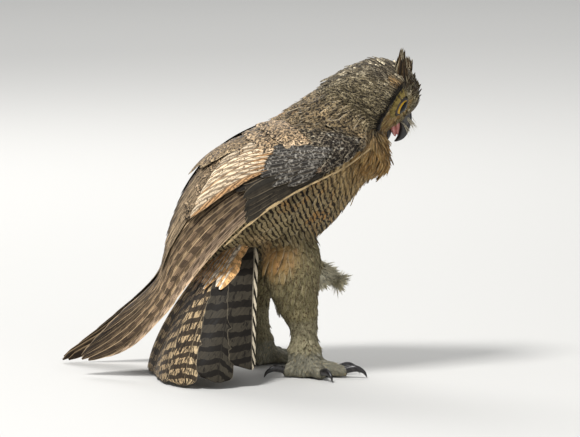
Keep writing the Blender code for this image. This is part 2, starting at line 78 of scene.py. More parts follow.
BODY = "root"
BAKE_MAP = "OFBake"
PATCH = 0.003  # width of one feather's patch in the bake map
FLOOR_CLEAR = 0.0004
SEED = 5


class Side(Enum):
    """The two sides of the bird, with the sign of Y on each."""

    RIGHT = -1
    LEFT = 1

    @property
    def word(self) -> str:
        """The side's name in node names."""
        return self.name.lower()


class Home(Enum):
    """The frame in which a place on the bird is given."""

    BODY = "body"
    HEAD = "head"


# -------- arithmetic


def unit(vectors: Array) -> Array:
    """Vectors scaled to length one."""
    return vectors / np.maximum(np.linalg.norm(vectors, axis=-1, keepdims=True), 1e-9)


def opaque(colours: Array) -> Array:
    """Colours with a fourth value of one."""
    return np.concatenate((colours, np.ones((*colours.shape[:-1], 1))), axis=-1)


def layers(shape: tuple[int, ...], *parts: object) -> Array:
    """Numbers spread over a grid, each as one layer of its last axis."""
    return np.stack([np.broadcast_to(part, shape) for part in parts], axis=-1)


def lattice(rows: int, wide: int, closed: bool = False) -> Array:
    """The quads between the points of a grid.

    Args:
        rows: how many rows of points there are.
        wide: how many points each row has.
        closed: whether each row runs round to its first point again.

    Returns:
        Rows of four indices into the points.
    """
    i, j = np.meshgrid(np.arange(rows - 1), np.arange(wide if closed else wide - 1), indexing="ij")
    here, beside = (i * wide + j).ravel(), (i * wide + (j + 1) % wide).ravel()
    return np.stack((here, here + wide, beside + wide, beside), axis=1)


def ease(values: Array, low: float, high: float) -> Array:
    """A smooth step from 0 at low to 1 at high."""
    t = np.clip((values - low) / (high - low), 0.0, 1.0)
    return t * t * (3 - 2 * t)


def spline(knots: Array, where: Array) -> Array:
    """Catmull-Rom values through equally spaced knots.

    Args:
        knots: one row of numbers for each knot.
        where: places from 0 to 1 along the run.

    Returns:
        One row of numbers for each place.
    """
    last = len(knots) - 1
    place = np.clip(where, 0.0, 1.0) * last
    i = np.minimum(place.astype(int), last - 1)
    u = (place - i)[:, None]
    before, start = knots[np.maximum(i - 1, 0)], knots[i]
    end, after = knots[i + 1], knots[np.minimum(i + 2, last)]
    rise, fall = (end - before) / 2, (after - start) / 2
    value = (1 + 2 * u) * (1 - u) ** 2 * start + u * (1 - u) ** 2 * rise
    return value + u * u * (3 - 2 * u) * end + u * u * (u - 1) * fall


def relax(values: Array, edges: Array, rounds: int, pull: float = 0.5) -> Array:
    """Averages values at a mesh's points with those of their neighbours.

    Args:
        values: one row for each point.
        edges: pairs of points.
        rounds: how many times.
        pull: how far each point goes towards its neighbours' mean.

    Returns:
        The smoothed rows.
    """
    count = np.bincount(edges.ravel(), minlength=len(values)).astype(float)[:, None]
    for _ in range(rounds):
        total = np.zeros_like(values)
        np.add.at(total, edges[:, 0], values[edges[:, 1]])
        np.add.at(total, edges[:, 1], values[edges[:, 0]])
        values = values + (total / np.maximum(count, 1) - values) * pull
    return values


# -------- stance


def box(node: str) -> tuple[Array, Array]:
    """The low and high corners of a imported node."""
    low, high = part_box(node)
    return np.array(low), np.array(high)


@dataclass(frozen=True)
class Stance:
    """The bird's own frames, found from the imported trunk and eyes.

    Body places are (forward, left, up) from the floor under the middle of the bird. Head places are
    along the face's own axes, from the middle of the head.
    """

    trunk_low: Triple = (-0.0386, -0.0701, 0.1118)
    nose_down: float = 27.0
    eye_ahead: float = 0.0305
    eye_out: float = 0.026
    eye_up: float = 0.0225

    @property
    def origin(self) -> Array:
        """Where the body frame starts."""
        return box("trunk")[0] - np.array(self.trunk_low)

    def eye(self, side: Side) -> Array:
        """Centre of one eye."""
        low, high = box("eye_" + side.word)
        return (low + high) / 2

    @property
    def head_axes(self) -> Array:
        """Which way the head's own axes run.

        Returns:
            Rows forward, left and up.
        """
        left = unit(self.eye(Side.LEFT) - self.eye(Side.RIGHT))
        level = np.cross(left, (0, 0, 1))
        turn = radians(self.nose_down)
        ahead = level * cos(turn) - np.array((0, 0, 1)) * sin(turn)
        return np.array((ahead, left, np.cross(ahead, left)))

    @property
    def head_origin(self) -> Array:
        """Where the head frame starts.

        Returns:
            The middle of the head.
        """
        between = (self.eye(Side.LEFT) + self.eye(Side.RIGHT)) / 2
        ahead, _, up = self.head_axes
        return between - ahead * self.eye_ahead - up * self.eye_up

    def inside(self, points: Array, home: Home = Home.BODY) -> Array:
        """Takes world points into one of the bird's frames.

        Args:
            points: the points.
            home: the frame.

        Returns:
            Their places in it.
        """
        if home is Home.HEAD:
            return (points - self.head_origin) @ self.head_axes.T
        return points - self.origin

    def world(self, places: Array, home: Home = Home.BODY) -> Array:
        """Takes places in one of the bird's frames into the world.

        Args:
            places: the places.
            home: their frame.

        Returns:
            The points.
        """
        if home is Home.HEAD:
            return np.asarray(places) @ self.head_axes + self.head_origin
        return np.asarray(places) + self.origin

    def turned(self, directions: Array, home: Home) -> Array:
        """Directions in one of the bird's frames as world directions."""
        return np.asarray(directions) @ self.head_axes if home is Home.HEAD else np.asarray(directions)


STANCE = Stance()


# -------- materials


class Wiring:
    """A material's nodes, added and linked in short calls."""

    def __init__(self, name: str) -> None:
        """Makes a material with its output and Principled shader.

        Args:
            name: the material's name.
        """
        self.material = bpy.data.materials.new(name)
        self.material.use_nodes = True
        self.tree = self.material.node_tree
        self.shader = self.tree.nodes["Principled BSDF"]

    def add(self, kind: str, inputs: Optional[dict] = None, **settings: object) -> bpy.types.Node:
        """Adds a node.

        Args:
            kind: the node's type, without its ShaderNode prefix.
            inputs: value or output socket for each input, by name or index.
            settings: the node's own properties.

        Returns:
            The node.
        """
        node = self.tree.nodes.new("ShaderNode" + kind)
        for key, value in settings.items():
            setattr(node, key, value)
        for key, value in (inputs or {}).items():
            self.feed(node.inputs[key], value)
        return node

    def feed(self, socket: Socket, value: object) -> None:
        """Links a socket to an output, or sets its value.

        Args:
            socket: the input.
            value: an output, a number or a colour.
        """
        if isinstance(value, Socket):
            self.tree.links.new(value, socket)
        else:
            socket.default_value = (*value, 1.0) if socket.type == "RGBA" else value

    def maths(self, operation: str, a: object, b: object = 0.0, c: object = 0.0) -> Socket:
        """The result of one sum on up to three numbers."""
        return self.add("Math", {0: a, 1: b, 2: c}, operation=operation).outputs[0]

    def times(self, a: object, b: object) -> Socket:
        """The product of two numbers."""
        return self.maths("MULTIPLY", a, b)

    def ramp(self, value: object, low: float, high: float, start: float = 0.0, end: float = 1.0) -> Socket:
        """Maps low..high smoothly onto start..end."""
        inputs = {"Value": value, "From Min": low, "From Max": high, "To Min": start, "To Max": end}
        return self.add("MapRange", inputs, interpolation_type="SMOOTHSTEP").outputs["Result"]

    def noise(self, vector: object, scale: float, detail: float = 2.0, rough: float = 0.5) -> Socket:
        """A noise value."""
        inputs = {"Vector": vector, "Scale": scale, "Detail": detail, "Roughness": rough}
        return self.add("TexNoise", inputs).outputs["Fac"]

    def mix(self, share: object, a: object, b: object) -> Socket:
        """Two colours mixed."""
        return self.add("Mix", {0: share, 6: a, 7: b}, data_type="RGBA").outputs[2]

    def parts(self, name: str) -> list[Socket]:
        """The three numbers of a vector attribute."""
        source = self.add("Attribute", attribute_name=name)
        return list(self.add("SeparateXYZ", {0: source.outputs["Vector"]}).outputs)

    def relief(self, height: object, strength: float, depth: float) -> None:
        """Gives the shader a bump."""
        bump = self.add("Bump", {"Height": height, "Strength": strength, "Distance": depth})
        self.feed(self.shader.inputs["Normal"], bump.outputs[0])

    def finish(self, sockets: dict[str, object]) -> Material:
        """Feeds the shader's own sockets.

        Args:
            sockets: value or output socket for each input, by name.

        Returns:
            The material.
        """
        for key, value in sockets.items():
            self.feed(self.shader.inputs[key], value)
        return self.material


@dataclass(frozen=True)
class Plumage:
    """Feathers: ground colour, bars, flecks, shaft and barbs, read from the vanes' own attributes."""

    name: str
    wobble: float = 0.55  # how far bars wander, in bar widths
    wobble_scale: float = 190.0
    fleck_scale: float = 620.0
    fleck_edge: Pair = (0.46, 0.56)
    bar_low: float = -0.15
    bar_high: float = 0.45
    shaft: float = 0.45
    shaft_width: float = 0.13
    barb: float = 0.35
    barbs: float = 30.0  # along the feather
    sweep: float = 8.0  # of the barbs towards the tip
    fringe: float = 0.25
    fringe_from: float = 0.62
    fringe_tint: Triple = (0.74, 0.62, 0.43)
    spread: float = 0.16  # how much feathers differ in brightness
    woven: bool = False  # whether flecks follow the barbs
    roughness: float = 0.78
    sheen: float = 0.04
    gloss: float = 0.14
    relief: float = 0.5

    def material(self) -> Material:
        """Builds the nodes.

        Returns:
            The material.
        """
        w = Wiring(self.name)
        ground = w.add("Attribute", attribute_name="ground").outputs["Color"]
        mark = w.add("Attribute", attribute_name="mark").outputs["Color"]
        phase, bars, flecks = w.parts("lie")
        across, along, luck = w.parts("vane")
        place = w.add("TexCoord").outputs["Object"]
        off = w.maths("ABSOLUTE", across)
        wander = w.maths("SUBTRACT", w.noise(place, self.wobble_scale), 0.5)
        turn = w.maths("MULTIPLY_ADD", wander, self.wobble * 2, phase)
        wave = w.maths("SINE", w.times(turn, 2 * pi))
        bar = w.times(w.ramp(wave, self.bar_low, self.bar_high), bars)
        lean = w.maths("SUBTRACT", w.times(along, self.barbs), w.times(off, self.sweep))
        own = w.times(luck, 40.0)
        if self.woven:
            weave = {0: w.times(across, 5.5), 1: w.times(lean, 0.45), 2: own}
            grain = w.noise(w.add("CombineXYZ", weave).outputs[0], 1.3, 4.0, 0.7)
        else:
            grain = w.noise(place, self.fleck_scale, 3.0, 0.65)
        push = w.maths("MULTIPLY_ADD", w.maths("SUBTRACT", flecks, 0.5), 0.42, grain)
        shaft = w.ramp(off, 0.0, self.shaft_width, self.shaft, 0.0)
        cover = w.maths("MAXIMUM", w.maths("MAXIMUM", bar, w.ramp(push, *self.fleck_edge)), shaft)
        thread = w.add("CombineXYZ", {0: w.times(off, 1.4), 1: lean, 2: own})
        barb = w.noise(thread.outputs[0], 1.7, 2.0, 0.6)
        edge = w.times(w.ramp(off, self.fringe_from, 1.0), w.ramp(along, 0.12, 0.5, 0.0, self.fringe))
        tint = w.mix(edge, w.mix(cover, ground, mark), self.fringe_tint)
        bright = w.ramp(luck, 0.0, 1.0, 1 - self.spread, 1 + self.spread)
        value = w.times(w.ramp(barb, 0.25, 0.75, 1 - self.barb, 1 + self.barb), bright)
        w.relief(w.maths("MULTIPLY_ADD", cover, 0.15, barb), self.relief, 0.0004)
        return w.finish({
            "Base Color": w.add("HueSaturation", {"Value": value, "Color": tint}).outputs[0],
            "Roughness": w.ramp(barb, 0.2, 0.8, self.roughness - 0.13, self.roughness + 0.1),
            "Sheen Weight": self.sheen, "Sheen Roughness": 0.5, "Specular IOR Level": self.gloss,
        })


@dataclass(frozen=True)
class Horn:
    """Bill and claws: dark horn, paler or darker along its length, with fine growth lines."""

    name: str
    dark: Triple
    pale: Triple
    roughness: float = 0.3
    lines: float = 900.0

    def material(self) -> Material:
        """Builds the nodes.

        Returns:
            The material.
        """
        w = Wiring(self.name)
        place = w.add("TexCoord").outputs["Object"]
        along, around, _ = w.parts("run")
        cloud = w.ramp(w.noise(place, 260.0, 3.0, 0.6), 0.35, 0.75)
        share = w.times(cloud, w.ramp(along, 0.0, 1.0, 1.0, 0.15))
        rings = w.noise(w.add("CombineXYZ", {0: w.times(along, 26.0), 1: around}).outputs[0], 2.2, 3.0)
        w.relief(w.maths("ADD", rings, w.noise(place, self.lines, 2.0)), 0.25, 0.0002)
        rough = w.ramp(rings, 0.2, 0.8, self.roughness - 0.08, self.roughness + 0.16)
        return w.finish({"Base Color": w.mix(share, self.dark, self.pale), "Roughness": rough})


@dataclass(frozen=True)
class Flesh:
    """Bare skin: cere, lids and tongue."""

    name: str
    tint: Triple
    shade: Triple
    roughness: float = 0.5
    pores: float = 1400.0

    def material(self) -> Material:
        """Builds the nodes.

        Returns:
            The material.
        """
        w = Wiring(self.name)
        place = w.add("TexCoord").outputs["Object"]
        cloud = w.ramp(w.noise(place, 300.0, 4.0, 0.6), 0.3, 0.7)
        pores = w.noise(place, self.pores, 2.0, 0.5)
        w.relief(pores, 0.4, 0.0002)
        rough = w.ramp(pores, 0.3, 0.7, self.roughness - 0.1, self.roughness + 0.15)
        return w.finish({
            "Base Color": w.mix(cloud, self.tint, self.shade), "Roughness": rough, "Subsurface Weight": 0.05,
        })


@dataclass(frozen=True)
class EyeGlass:
    """The eye: black pupil, yellow iris with fine rays, dark rim, wet surface."""

    name: str = "wet_eye"
    pupil: float = 0.57  # angles off the eye's axis, radians
    iris: float = 0.86
    black: Triple = (0.004, 0.004, 0.004)
    amber: Triple = (0.46, 0.235, 0.015)
    yellow: Triple = (0.72, 0.46, 0.045)
    outer: Triple = (0.2, 0.075, 0.006)
    rim: Triple = (0.012, 0.01, 0.008)

    def material(self) -> Material:
        """Builds the nodes.

        Returns:
            The material.
        """
        w = Wiring(self.name)
        off, sine, cosine = w.parts("gaze")
        spokes = w.add("CombineXYZ", {0: sine, 1: cosine, 2: w.times(off, 0.25)}).outputs[0]
        rays = w.noise(spokes, 14.0, 4.0, 0.7)
        glow = w.mix(w.ramp(rays, 0.3, 0.7), self.amber, self.yellow)
        deep = w.mix(w.ramp(off, self.iris - 0.24, self.iris), glow, self.outer)
        tint = w.mix(w.ramp(off, self.pupil - 0.015, self.pupil + 0.015), self.black, deep)
        tint = w.mix(w.ramp(off, self.iris - 0.01, self.iris + 0.03), tint, self.rim)
        w.relief(rays, 0.06, 0.0001)
        return w.finish({
            "Base Color": tint, "Roughness": w.ramp(rays, 0.2, 0.8, 0.06, 0.16), "Specular IOR Level": 0.08,
            "Coat Weight": 0.22, "Coat Roughness": 0.03,
        })


@dataclass(frozen=True)
class Ground:
    """The plain pale floor."""

    name: str = "studio_floor"
    tint: Triple = (0.6, 0.59, 0.565)

    def material(self) -> Material:
        """Builds it."""
        return Wiring(self.name).finish({"Base Color": self.tint, "Roughness": 0.9})


# -------- mesh building


@dataclass
class Bag:
    """Points, faces and attributes of many small shapes that end up in one mesh."""

    name: str
    points: list[Array] = field(default_factory=list)
    quads: list[Array] = field(default_factory=list)
    triangles: list[Array] = field(default_factory=list)
    values: dict[str, list[Array]] = field(default_factory=dict)
    count: int = 0

    def add(
        self, points: Array, values: dict[
            str, Array,
        ], quads: Optional[Array] = None, triangles: Optional[Array] = None
    ) -> None:
        """Adds a shape.

        Args:
            points: its points, in any grid.
            values: rows for each point in the same grid, by attribute name. The bake map's are UVs.
            quads: rows of four indices into the points.
            triangles: rows of three.
        """
        flat = points.reshape(-1, 3)
        self.points.append(flat)
        for corners, store in ((quads, self.quads), (triangles, self.triangles)):
            if corners is not None:
                store.append(corners + self.count)
        for key, rows in values.items():
            self.values.setdefault(key, []).append(rows.reshape(-1, rows.shape[-1]))
        self.count += len(flat)

    def build(self, finish: Material) -> bpy.types.Object:
        """Turns everything into one smooth object with one material.

        Args:
            finish: the material.

        Returns:
            The object, linked to the scene.
        """
        points = np.concatenate(self.points)
        quads = np.concatenate(self.quads) if self.quads else np.zeros((0, 4), int)
        triangles = np.concatenate(self.triangles) if self.triangles else np.zeros((0, 3), int)
        corners = np.concatenate((quads.ravel(), triangles.ravel()))
        sizes = np.concatenate((np.full(len(quads), 4), np.full(len(triangles), 3)))
        mesh = bpy.data.meshes.new(self.name)
        mesh.vertices.add(len(points))
        mesh.vertices.foreach_set("co", points.astype(np.float32).ravel())
        mesh.loops.add(len(corners))
        mesh.loops.foreach_set("vertex_index", corners.astype(np.int32))
        mesh.polygons.add(len(sizes))
        mesh.polygons.foreach_set("loop_start", (np.cumsum(sizes) - sizes).astype(np.int32))
        mesh.polygons.foreach_set("use_smooth", np.ones(len(sizes), bool))
        mesh.update(calc_edges=True)
        for key, rows in self.values.items():
            give(mesh, key, np.concatenate(rows), corners)
        mesh.validate()
        mesh.materials.append(finish)
        piece = bpy.data.objects.new(self.name, mesh)
        bpy.context.scene.collection.objects.link(piece)
        return piece


def give(mesh: bpy.types.Mesh, key: str, rows: Array, corners: Array) -> None:
    """Stores rows on a mesh: as UVs, as colours if they are four wide, else as vectors.

    Args:
        mesh: where they go.
        key: the attribute's name.
        rows: one row for each point.
        corners: the point at each corner of the faces.
    """
    if key == BAKE_MAP:
        mesh.uv_layers.new(name=key).uv.foreach_set("vector", rows[corners].astype(np.float32).ravel())
        return
    kind, value = ("FLOAT_COLOR", "color") if rows.shape[1] == 4 else ("FLOAT_VECTOR", "vector")
    mesh.attributes.new(key, kind, "POINT").data.foreach_set(value, rows.astype(np.float32).ravel())


def settle(piece: bpy.types.Object, slot: str, *nodes: str) -> None:
    """Ties a piece to the body and reports it.

    Args:
        piece: the piece.
        slot: its material slot; not used.
        nodes: the CAD nodes whose place it takes.
    """
    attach(piece, BODY)
    if nodes:
        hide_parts(*nodes)
    log.info("%s: %d faces", piece.name, len(piece.data.polygons))


# -------- how the coat looks where


@dataclass(frozen=True)
class Look:
    """The coat at one place: colours, how strongly it is barred and flecked, and its feathers."""

    ground: Triple
    mark: Triple
    accent: Triple
    bars: float
    flecks: float
    length: float
    slim: float = 0.46
    lift: float = 0.003

    def row(self) -> list[float]:
        """All of it as one row of numbers."""
        return [*self.ground, *self.mark, *self.accent, self.bars, self.flecks, self.length, self.slim, self.lift]


GROUND, MARK, ACCENT = slice(0, 3), slice(3, 6), slice(6, 9)  # columns of such a row
BARS, FLECKS, LENGTH, SLIM, LIFT = range(9, 14)


@dataclass(frozen=True)
class Patch:
    """A look round a place, on some of the flesh."""

    place: Triple  # forward, off the middle plane, up
    reach: float
    look: Look
    flesh: tuple[str, ...]  # how the names of its nodes start
    home: Home


DARK = (0.034, 0.022, 0.013)
SOOT = (0.016, 0.012, 0.009)
UMBER = (0.075, 0.046, 0.024)
TAWNY = (0.38, 0.2, 0.062)
ORANGE = (0.48, 0.21, 0.06)
BUFF = (0.42, 0.33, 0.18)
PALE = (0.54, 0.46, 0.3)
CREAM = (0.66, 0.58, 0.42)
OLIVE = (0.33, 0.27, 0.145)
HEAD, TORSO, THIGHS, WINGS = ("head",), ("trunk", "rump", "neck"), ("thigh",), ("wing",)


def patches(look: Look, flesh: tuple[str, ...], *spots: tuple[float, ...]) -> list[Patch]:
    """One look at spots of a place and a reach each, which on the head are in the head's own frame."""
    home = Home.HEAD if flesh == HEAD else Home.BODY
    return [Patch(spot[:3], spot[3], look, flesh, home) for spot in spots]


CROWN = Look((0.108, 0.081, 0.046), SOOT, (0.84, 0.72, 0.5), 0.0, 0.46, 0.0105, 0.4, 0.0024)
NAPE = Look((0.102, 0.078, 0.046), SOOT, (0.62, 0.52, 0.34), 0.0, 0.48, 0.015, 0.36, 0.0032)
CHEEK = Look((0.145, 0.115, 0.06), SOOT, (0.38, 0.31, 0.18), 0.0, 0.48, 0.01, 0.34, 0.0018)
BROW = Look((0.4, 0.35, 0.21), UMBER, CREAM, 0.0, 0.35, 0.0075, 0.3, 0.0018)
FOREHEAD = Look((0.11, 0.085, 0.05), SOOT, (0.44, 0.38, 0.24), 0.0, 0.6, 0.007, 0.34, 0.0022)
LORES = Look((0.34, 0.3, 0.165), UMBER, (0.5, 0.45, 0.29), 0.0, 0.32, 0.007, 0.26, 0.0016)
SPOT = Look(SOOT, SOOT, UMBER, 0.0, 0.5, 0.008, 0.36, 0.002)
CHIN = Look((0.33, 0.185, 0.06), SOOT, BUFF, 0.0, 0.3, 0.011, 0.3, 0.0026)
MANTLE = Look((0.19, 0.14, 0.075), SOOT, (0.5, 0.36, 0.19), 0.25, 0.52, 0.02, 0.42, 0.004)
BACK = Look((0.483, 0.356, 0.201), DARK, ORANGE, 0.4, 0.52, 0.027, 0.46, 0.0038)
# partly painted shade: its own tawny, darkened where the throat's paler bib lies in shade
SHADED_THROAT = Look((0.25, 0.135, 0.038), UMBER, (0.4, 0.26, 0.095), 0.06, 0.2, 0.0125, 0.23, 0.005)
COLLAR = Look((0.38, 0.26, 0.11), DARK, BUFF, 0.75, 0.12, 0.016, 0.36, 0.0036)
BREAST = Look((0.28, 0.215, 0.112), SOOT, TAWNY, 1.0, 0.12, 0.02, 0.42, 0.0036)
# partly painted shade: the belly is darker than its own colour, as the underside lies in shade
SHADED_BELLY = Look((0.255, 0.205, 0.108), SOOT, BUFF, 0.95, 0.06, 0.025, 0.46, 0.0036)
FLANK = Look((0.4, 0.19, 0.045), UMBER, ORANGE, 0.05, 0.1, 0.024, 0.42, 0.0044)
VENT = Look((0.64, 0.5, 0.33), UMBER, ORANGE, 0.4, 0.18, 0.026, 0.4, 0.0044)
# partly painted shade: darker than the thigh's own colour, as the legs lie in shade under the body
THIGH = Look((0.195, 0.168, 0.085), UMBER, (0.26, 0.22, 0.115), 0.12, 0.38, 0.012, 0.34, 0.0022)
SHANK = Look((0.22, 0.195, 0.115), UMBER, (0.3, 0.265, 0.17), 0.0, 0.28, 0.0085, 0.34, 0.0016)
# painted shade: the pale feathered feet drawn in the dull grey of their shade
SHADED_FOOT = Look((0.18, 0.172, 0.128), OLIVE, (0.25, 0.235, 0.18), 0.0, 0.24, 0.006, 0.36, 0.001)
COVERT = Look((0.32, 0.245, 0.145), SOOT, PALE, 0.0, 0.6, 0.015, 0.5, 0.0024)
WRIST = Look((0.15, 0.12, 0.085), SOOT, (0.42, 0.39, 0.32), 0.0, 0.64, 0.011, 0.5, 0.0018)
INNER = Look((0.44, 0.325, 0.18), DARK, ORANGE, 0.0, 0.52, 0.018, 0.5, 0.0028)
# painted shadow: the dark gap on the back below the far wing's raised scapulars
PAINTED_SHADE = Look((0.26, 0.185, 0.1), SOOT, UMBER, 0.3, 0.55, 0.024, 0.46, 0.003)
FLUFF = Look((0.6, 0.55, 0.39), PALE, CREAM, 0.0, 0.05, 0.014, 0.26, 0.004)

PATCHES = [
    *patches(CROWN, HEAD, (-0.005, 0.0, 0.045, 0.03), (0.03, 0.0, 0.035, 0.016)),
    *patches(NAPE, HEAD, (-0.04, 0.0, 0.005, 0.024)),
    *patches(CHEEK, HEAD, (0.0, 0.055, 0.0, 0.03), (-0.02, 0.04, -0.02, 0.024)),
    *patches(BROW, HEAD, (0.034, 0.016, 0.037, 0.006)),
    *patches(LORES, HEAD, (0.043, 0.01, 0.024, 0.006)),
    *patches(FOREHEAD, HEAD, (0.046, 0.0, 0.03, 0.007), (0.038, 0.0, 0.04, 0.007)),
    *patches(SPOT, HEAD, (0.013, 0.033, 0.046, 0.006)),
    *patches(CHIN, HEAD, (0.029, 0.032, 0.042, 0.004), (0.03, 0.0, -0.018, 0.016)),
    *patches(BACK, TORSO, (0.04, 0.0, 0.25, 0.035), (0.0, 0.0, 0.2, 0.035), (-0.04, 0.0, 0.14, 0.025)),
    *patches(MANTLE, TORSO, (0.085, 0.0, 0.285, 0.03), (0.105, 0.045, 0.262, 0.022)),
    *patches(SHADED_THROAT, TORSO, (0.155, 0.0, 0.212, 0.03), (0.14, 0.045, 0.218, 0.016)),
    *patches(COLLAR, TORSO, (0.112, 0.06, 0.205, 0.016), (0.128, 0.02, 0.185, 0.016)),
    *patches(BREAST, TORSO, (0.085, 0.062, 0.19, 0.024), (0.1, 0.0, 0.15, 0.03)),
    *patches(SHADED_BELLY, TORSO, (0.04, 0.062, 0.15, 0.026), (0.06, 0.0, 0.12, 0.03), (0.008, 0.05, 0.12, 0.022)),
    *patches(FLANK, TORSO, (0.037, 0.066, 0.133, 0.016)),
    *patches(VENT, TORSO, (-0.024, 0.02, 0.095, 0.02)),
    *patches(THIGH, THIGHS, (0.05, 0.045, 0.1, 0.03)),
    *patches(FLANK, THIGHS, (0.037, 0.068, 0.133, 0.0155)),
    *patches(FLUFF, ("thigh_left",), (0.1, 0.042, 0.086, 0.016)),
    *patches(PAINTED_SHADE, TORSO, (-0.03, 0.012, 0.19, 0.022)),
    *patches(SHANK, ("shank",), (0.06, 0.045, 0.05, 0.03)),
    *patches(SHADED_FOOT, ("foot",), (0.08, 0.045, 0.01, 0.03)),
    *patches(WRIST, WINGS, (0.128, 0.055, 0.235, 0.022), (0.085, 0.08, 0.212, 0.024)),
    *patches(COVERT, WINGS, (0.06, 0.055, 0.235, 0.022), (0.02, 0.08, 0.19, 0.024)),
    *patches(INNER, WINGS, (0.03, 0.02, 0.255, 0.024)),
]


def folded(places: Array) -> Array:
    """Places with those on the right laid over to the left."""
    return np.stack((places[:, 0], np.abs(places[:, 1]), places[:, 2]), axis=1)


@dataclass(frozen=True)
class Face:
    """The two facial discs: a tawny dish round each eye, and a black rim on its outer side."""

    middle: Pair = (0.026, 0.01)  # off the middle plane, and up
    reach: Pair = (0.0225, 0.0315)
    low_reach: float = 0.02  # the disc is shorter below its middle
    plane: float = 0.031  # how far ahead the rim stands
    fall: float = 0.014  # how far behind the rim one more radius lies
    rim_width: float = 0.15
    front: float = 0.016
    disc: Look = Look((0.27, 0.155, 0.042), UMBER, (0.28, 0.24, 0.085), 0.0, 0.26, 0.0085, 0.24, 0.001)
    rim: Look = Look((0.012, 0.01, 0.008), SOOT, SOOT, 0.0, 0.5, 0.0056, 0.36, 0.003)
    ring: Look = Look((0.4, 0.34, 0.19), SOOT, BUFF, 0.0, 0.3, 0.0045, 0.26, 0.0006)

    def round_off(self, places: Array) -> Array:
        """How far out from the middle of the disc places are.

        Args:
            places: points in the head's frame.

        Returns:
            A number for each, one being at the rim.
        """
        off = (np.abs(places[:, 1]) - self.middle[0]) / self.reach[0]
        up = places[:, 2] - self.middle[1]
        up = up / np.where(up < 0, self.low_reach, self.reach[1])
        return np.sqrt(off**2 + up**2) + np.maximum(self.plane - places[:, 0], 0) / self.fall

    def paint(self, places: Array, looks: Array, on_head: Array) -> Array:
        """Lays the discs over the head's looks.

        Args:
            places: the points in the head's frame.
            looks: their looks so far.
            on_head: which points belong to the head.

        Returns:
            The looks with the face on them.
        """
        out = self.round_off(places)
        ahead = ease(places[:, 0], self.front, self.front + 0.006) * on_head
        outer = ease(np.abs(places[:, 1]), 0.016, 0.026)
        inside = (1 - ease(out, 0.72, 0.8)) * ahead
        rim = ease(out, 0.72, 0.8) * (1 - ease(out - self.rim_width, 0.8, 0.88)) * ahead * outer
        eye = np.array((STANCE.eye_ahead, STANCE.eye_out, STANCE.eye_up))
        near = np.linalg.norm(folded(places) - eye, axis=1)
        ring = (1 - ease(near, 0.0135, 0.016)) * ahead
        for share, look in ((inside, self.disc), (rim, self.rim), (ring, self.ring)):
            looks = looks * (1 - share[:, None]) + np.array(look.row()) * share[:, None]
        return looks


